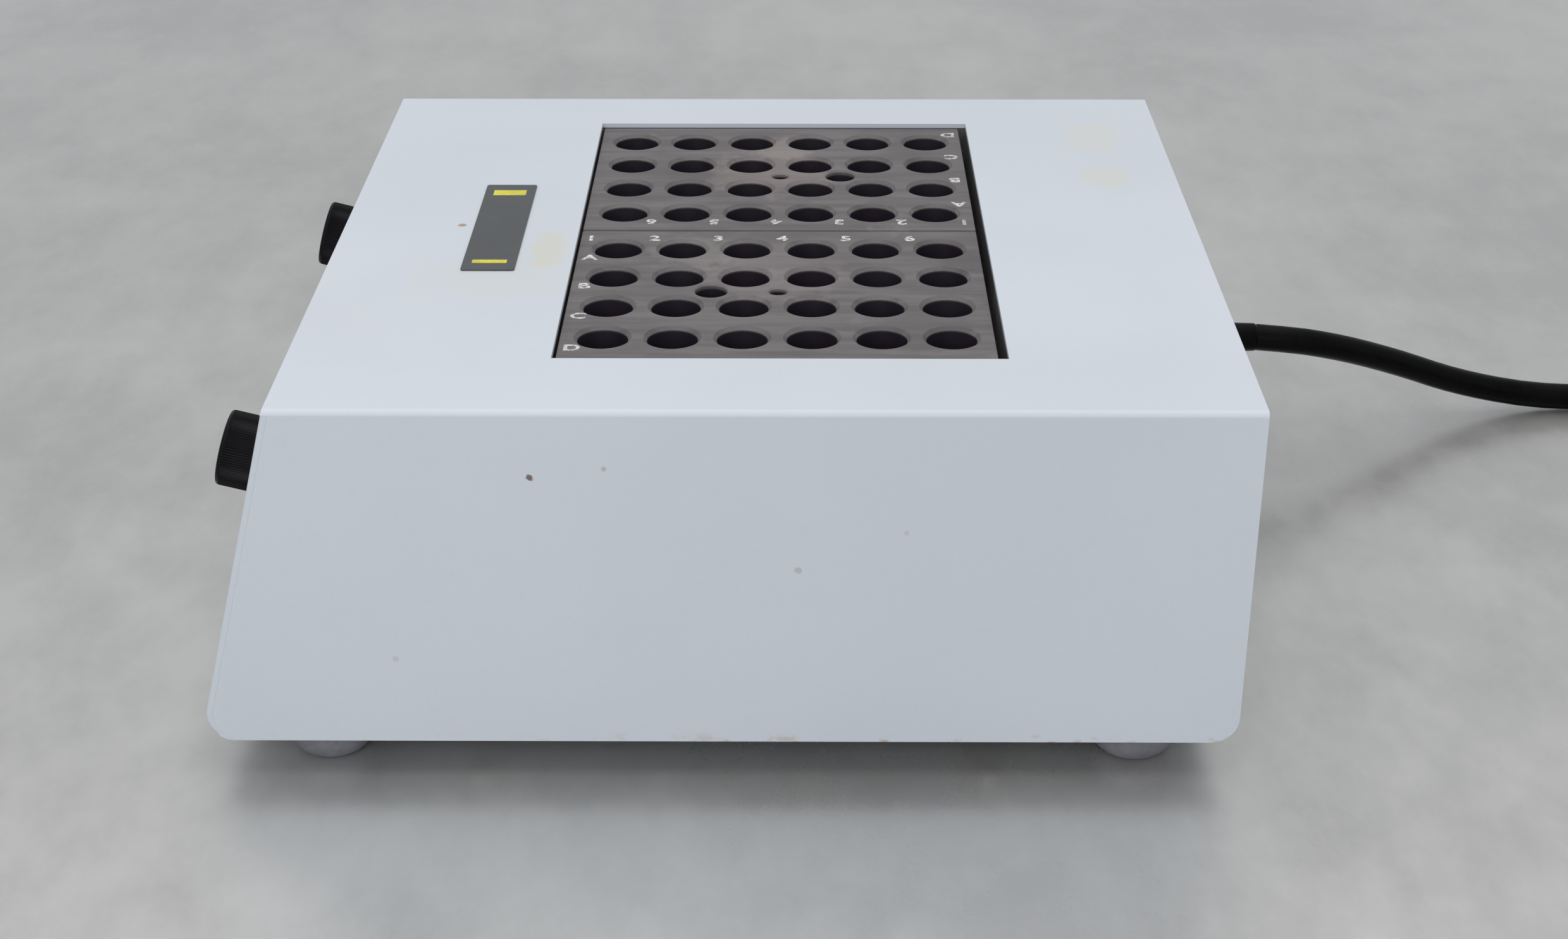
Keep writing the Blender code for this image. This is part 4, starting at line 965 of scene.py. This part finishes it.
def chassis_holes():
    """Cutters for the screws under the floor, the cord, the vents and everything on the panel."""
    holes = []
    screws = [name for name in frame["nodes"] if name.startswith(("foot_screw", "cover_screw"))]
    for name in screws:
        low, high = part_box(name)
        middle = (low + high) / 2
        place = Matrix.Translation((middle.x, middle.y, low.z))
        holes.append(rod_shape(place, SCREW_HOLE_RADIUS, 0.02))
    rear = Matrix.Translation((CORD_EXIT.x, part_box("base_chassis")[1].y, CORD_EXIT.z))
    holes.append(rod_shape(rear @ Matrix.Rotation(math.pi / 2, 4, "X"), CORD_HOLE_RADIUS, 0.004))
    for side in ("left", "right"):
        knob = panel_matrix(JOINTS[f"{side}_knob_turn"])
        holes.append(rod_shape(knob, KNOB_HOLE_RADIUS, PANEL_HOLE_REACH))
    holes.append(rod_shape(lamp_matrix(), LAMP_HOLE_RADIUS, PANEL_HOLE_REACH))
    room = box_shape(-SWITCH_HOLE_HALF, SWITCH_HOLE_HALF)
    room.transform(switch_matrix())
    holes.append(room)
    for slot in range(VENT_SLOTS):
        centre = VENT_CENTRE + Vector(((slot - (VENT_SLOTS - 1) / 2) * VENT_PITCH, 0, 0))
        holes.append(box_shape(centre - VENT_SIZE / 2, centre + VENT_SIZE / 2))
    return [gather(holes)]


def add_feet():
    """Bowl-shaped rubber feet with a screw recess underneath."""
    for end in ("front", "rear"):
        for side in ("left", "right"):
            low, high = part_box(f"foot_{end}_{side}")
            centre = (low + high) / 2
            radius = (high.x - low.x) / 2
            top = high.z
            seat = top / 2 + GAP
            profile = [(FOOT_BOLT_RADIUS, top)]
            profile += [(radius * wide, top * tall) for wide, tall in (
                (0.95, 1), (0.985, 0.96), (1, 0.86), (0.995, 0.72), (0.975, 0.55), (0.94, 0.40),
                (0.89, 0.27), (0.82, 0.15), (0.74, 0.06), (0.66, 0.012))]
            profile += [(radius * 0.62, low.z), (FOOT_RECESS_RADIUS + 0.0005, low.z),
                        (FOOT_RECESS_RADIUS, top * 0.08), (FOOT_RECESS_RADIUS, seat),
                        (FOOT_BOLT_RADIUS, seat)]
            place = Matrix.Translation((centre.x, centre.y, 0))
            piece(f"rubber_foot_{end}_{side}", turned(profile, 56, place), "grey_rubber",
                  stands_for=[f"foot_{end}_{side}"])


def add_label():
    """A blank dark film with a plain band near each end."""
    low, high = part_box("caution_label")
    shape = box_shape(low, high)
    upright = [e for e in shape.edges if abs(e.verts[0].co.z - e.verts[1].co.z) > GAP / 2]
    rounded(shape, upright, 0.0006, 4)
    piece("label_plate", shape, "label_film", stands_for=["caution_label"], bevel=SHARP_EDGE,
          segments=1)
    bands = [box_shape((low.x + start, low.y + LABEL_BAND_MARGIN, high.z - LABEL_INK),
                       (low.x + end, high.y - LABEL_BAND_MARGIN, high.z + LABEL_INK))
             for start, end in LABEL_BANDS]
    piece("label_bands", gather(bands), "yellow_ink")


# ---- Heating blocks ----

def row_place(row):
    return (row - (WELL_ROWS - 1) / 2) * WELL_ROW_PITCH


def column_place(column):
    return (column - (WELL_COLUMNS - 1) / 2) * WELL_COLUMN_PITCH


def bore(radius, depth, chamfer, tip, x, y, top, steps=48):
    """A drilled hole's cutter: countersunk mouth, straight bore, coned end."""
    above = 0.001
    profile = [(0, top + above), (radius + chamfer + above, top + above), (radius + chamfer, top),
               (radius, top - chamfer), (radius, top - depth + tip), (0, top - depth)]
    return turned(profile, steps, Matrix.Translation((x, y, 0)))


def add_block(side, sign):
    """A drilled block, its letters at the -Y end for sign 1. Sign -1 turns it half round."""
    low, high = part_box(f"{side}_block")
    centre = (low + high) / 2
    top = high.z
    solid = box_shape(low, high)
    rounded(solid, solid.edges[:], 0.0004, 2)
    holes = [bore(WELL_RADIUS, WELL_DEPTH, WELL_CHAMFER, 0.0015,
                  centre.x + row_place(row), centre.y + column_place(column), top)
             for row in range(WELL_ROWS) for column in range(WELL_COLUMNS)]
    holes.append(bore(THERMOMETER_RADIUS, WELL_DEPTH, 0.0003, 0.001, centre.x,
                      centre.y - sign * WELL_COLUMN_PITCH, top, 32))
    holes.append(bore(LIFTER_RADIUS, LIFTER_DEPTH, 0.0004, 0.0008, centre.x, centre.y, top, 24))
    name = f"{side}_block"
    piece(f"drilled_{name}", carved(solid, [gather(holes)]), "anodised_block", body=name,
          stands_for=[name])
    half = (high - low) / 2
    marks = []
    for column in range(WELL_COLUMNS):
        x = centre.x - sign * (half.x - NUMBER_INSET)
        y = centre.y + sign * (column_place(column) - NUMBER_SHIFT)
        marks.append(mark(str(column + 1), x, y, top, sign))
    for row, letter in enumerate("ABCD"):
        x = centre.x + sign * (row_place(row) + LETTER_SHIFT)
        y = centre.y - sign * (half.y - LETTER_INSET)
        marks.append(mark(letter, x, y, top, sign))
    piece(f"{name}_marks", gather(marks), "white_ink", body=name)


def mark(character, x, y, top, sign):
    """One character on a block's top, reading along the block's columns."""
    place = Matrix.Translation((x, y, top + MARK_INK * 0.3))
    turn = Matrix.Rotation(math.pi / 2 if sign > 0 else -math.pi / 2, 4, "Z")
    wide = Matrix.Diagonal((MARK_WIDEN, 1, 1, 1))
    return text_shape(character, MARK_SIZE, MARK_INK, place @ turn @ wide, MARK_SWELL)


# ---- Control panel ----

def panel_matrix(joint):
    """The panel's own axes at a joint: X right, Y up the slope, Z out of the panel."""
    out = Vector(joint["axis"]).normalized()
    right = Vector((1, 0, 0))
    turn = Matrix((right, out.cross(right), out)).transposed().to_4x4()
    return Matrix.Translation(Vector(joint["pos_m"])) @ turn


def add_knob(side):
    """A fluted knob with a rounded face and a painted pointer line."""
    matrix = panel_matrix(JOINTS[f"{side}_knob_turn"])
    low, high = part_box(f"{side}_knob")
    radius = (high.x - low.x) / 2
    proud, lift = KNOB_PROUD, KNOB_LIFT
    profile = [(0, proud - 0.0002), (radius * 0.60, proud - 0.0002), (radius * 0.64, proud),
               (radius - 0.00080, proud), (radius - 0.00040, proud - 0.00010),
               (radius - 0.00014, proud - 0.00034), (radius - 0.00002, proud - 0.00070),
               (radius, proud - 0.0011), (radius, lift + 0.0010), (radius * 0.995, lift + 0.0006),
               (radius * 0.98, lift), (KNOB_BOSS_RADIUS, lift), (KNOB_BOSS_RADIUS, lift + 0.0028),
               (SHAFT_RADIUS, lift + 0.0028), (SHAFT_RADIUS, proud - 0.0024), (0, proud - 0.0024)]
    fluted = [index for index, point in enumerate(profile) if point[0] == radius]

    def ripple(angle, index):
        if index not in fluted:
            return 0.0
        return FLUTE_DEPTH * (0.5 + 0.5 * math.cos(KNOB_FLUTES * angle)) ** 0.7

    body = f"{side}_knob"
    piece(f"fluted_{body}", turned(profile, KNOB_FLUTES * 6, matrix, ripple), "black_plastic",
          body=body, stands_for=[body], angle=40)
    line = box_shape((-0.00035, radius * 0.25, proud - 0.0006),
                     (0.00035, radius * 0.60, proud - 0.00014))
    line.transform(matrix)
    piece(f"{body}_pointer", line, "white_ink", body=body)


def add_dial(side):
    """Printed scale round a knob, 0 to 10."""
    matrix = panel_matrix(JOINTS[f"{side}_knob_turn"])
    shapes = []
    for step in range(DIAL_MARKS):
        angle = math.radians(DIAL_START - DIAL_STEP * step)
        tick = box_shape((DIAL_TICK[0], -DIAL_TICK_HALF, -DIAL_INK / 2),
                         (DIAL_TICK[1], DIAL_TICK_HALF, DIAL_INK))
        tick.transform(matrix @ Matrix.Rotation(angle, 4, "Z"))
        shapes.append(tick)
        if step % 2 == 0:
            outward_line = Vector((math.cos(angle), math.sin(angle), 0))
            place = DIAL_NUMBER_REACH * outward_line + Vector((0, 0, DIAL_INK / 2))
            shapes.append(text_shape(str(step), DIAL_NUMBER_SIZE, DIAL_INK,
                                     matrix @ Matrix.Translation(place)))
    piece(f"{side}_dial_marks", gather(shapes), "panel_ink")


def switch_matrix():
    """The panel's axes at the rocker, whose own joint turns about X."""
    return panel_matrix({"axis": JOINTS["left_knob_turn"]["axis"],
                         "pos_m": JOINTS["power_rocker_tilt"]["pos_m"]})


def lamp_matrix():
    """The panel's axes at the lamp, which stands lower than the knobs."""
    low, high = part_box("pilot_lamp_lens")
    knob = panel_matrix(JOINTS["left_knob_turn"])
    local = knob.inverted() @ ((low + high) / 2)
    return knob @ Matrix.Translation((local.x, KNOB_DOWN - LAMP_DOWN, 0))


def add_switch():
    """A framed well with a dished rocker in it, marked with a bar and a ring."""
    matrix = switch_matrix()
    half = SWITCH_HALF
    outer = half.xy + Vector((SWITCH_RIM, SWITCH_RIM))
    rim = box_shape((-outer.x, -outer.y, GAP), (outer.x, outer.y, SWITCH_PROUD))
    rounded(rim, [e for e in rim.edges if e.calc_length() < SWITCH_PROUD], 0.0012, 5)
    body = box_shape(-half, (half.x, half.y, GAP * 2))
    well_x, well_y = half.x - SWITCH_WALL, half.y - SWITCH_WALL
    well = box_shape((-well_x, -well_y, -half.z * 0.75), (well_x, well_y, half.z))
    shape = carved(carved(rim, [], [body]), [well])
    shape.transform(matrix)
    piece("switch_frame", shape, "black_plastic", stands_for=["switch_housing"], bevel=0.0003,
          segments=3)

    reach = well_y - GAP * 3
    wide = well_x - GAP * 2
    rise = SWITCH_PROUD + SWITCH_WALL
    lip = reach * 0.97
    outline = [(reach * 0.45, -reach * 0.6), (reach, 0.0), (lip, rise)]
    for step in range(1, ROCKER_STEPS):
        share = 1 - 2 * step / ROCKER_STEPS
        outline.append((lip * share, rise * (0.45 + 0.55 * abs(share) ** 1.5)))
    outline += [(-lip, rise), (-reach, 0.0), (-reach * 0.45, -reach * 0.6)]
    rocker = prism(outline, -wide, wide)
    tilt = matrix @ Matrix.Rotation(ROCKER_TILT, 4, "X")
    rocker.transform(tilt)
    piece("rocker_cap", rocker, "black_plastic", body="power_rocker",
          stands_for=["power_rocker"], bevel=0.0004, segments=3)

    bar = box_shape((-0.00035, -0.0013, 0), (0.00035, 0.0013, ROCKER_INK))
    ring = turned([(0.0014, ROCKER_INK), (0.0014, 0), (0.0009, 0), (0.0009, ROCKER_INK)], 32)
    for sign, shape in ((1, bar), (-1, ring)):
        place = Matrix.Translation((0, sign * reach * 0.62, rise * 0.745))
        shape.transform(tilt @ place @ Matrix.Rotation(sign * 0.24, 4, "X"))
    piece("rocker_marks", gather([bar, ring]), "white_ink", body="power_rocker")


def add_lamp():
    radius, flange = LAMP_RADIUS, LAMP_FLANGE
    dome = [(0, 0.00264), (radius * 0.35, 0.00256), (radius * 0.62, 0.00232),
            (radius * 0.84, 0.0019), (radius * 0.97, 0.0014), (radius, 0.0011),
            (flange * 0.96, 0.00096), (flange, 0.0008), (flange, GAP), (radius, GAP),
            (radius, -0.003), (0, -0.003)]
    piece("lamp_lens", turned(dome, 40, lamp_matrix()), "amber_lens",
          stands_for=["pilot_lamp_lens"])


# ---- The whole scene ----

add_camera()
add_cord()
add_strain_relief()
dress_cad_nodes()
add_cover()
add_chassis()
add_feet()
add_label()
add_block("right", 1)
add_block("left", -1)
for knob_side in ("left", "right"):
    add_knob(knob_side)
    add_dial(knob_side)
add_switch()
add_lamp()
add_floor()
add_light()
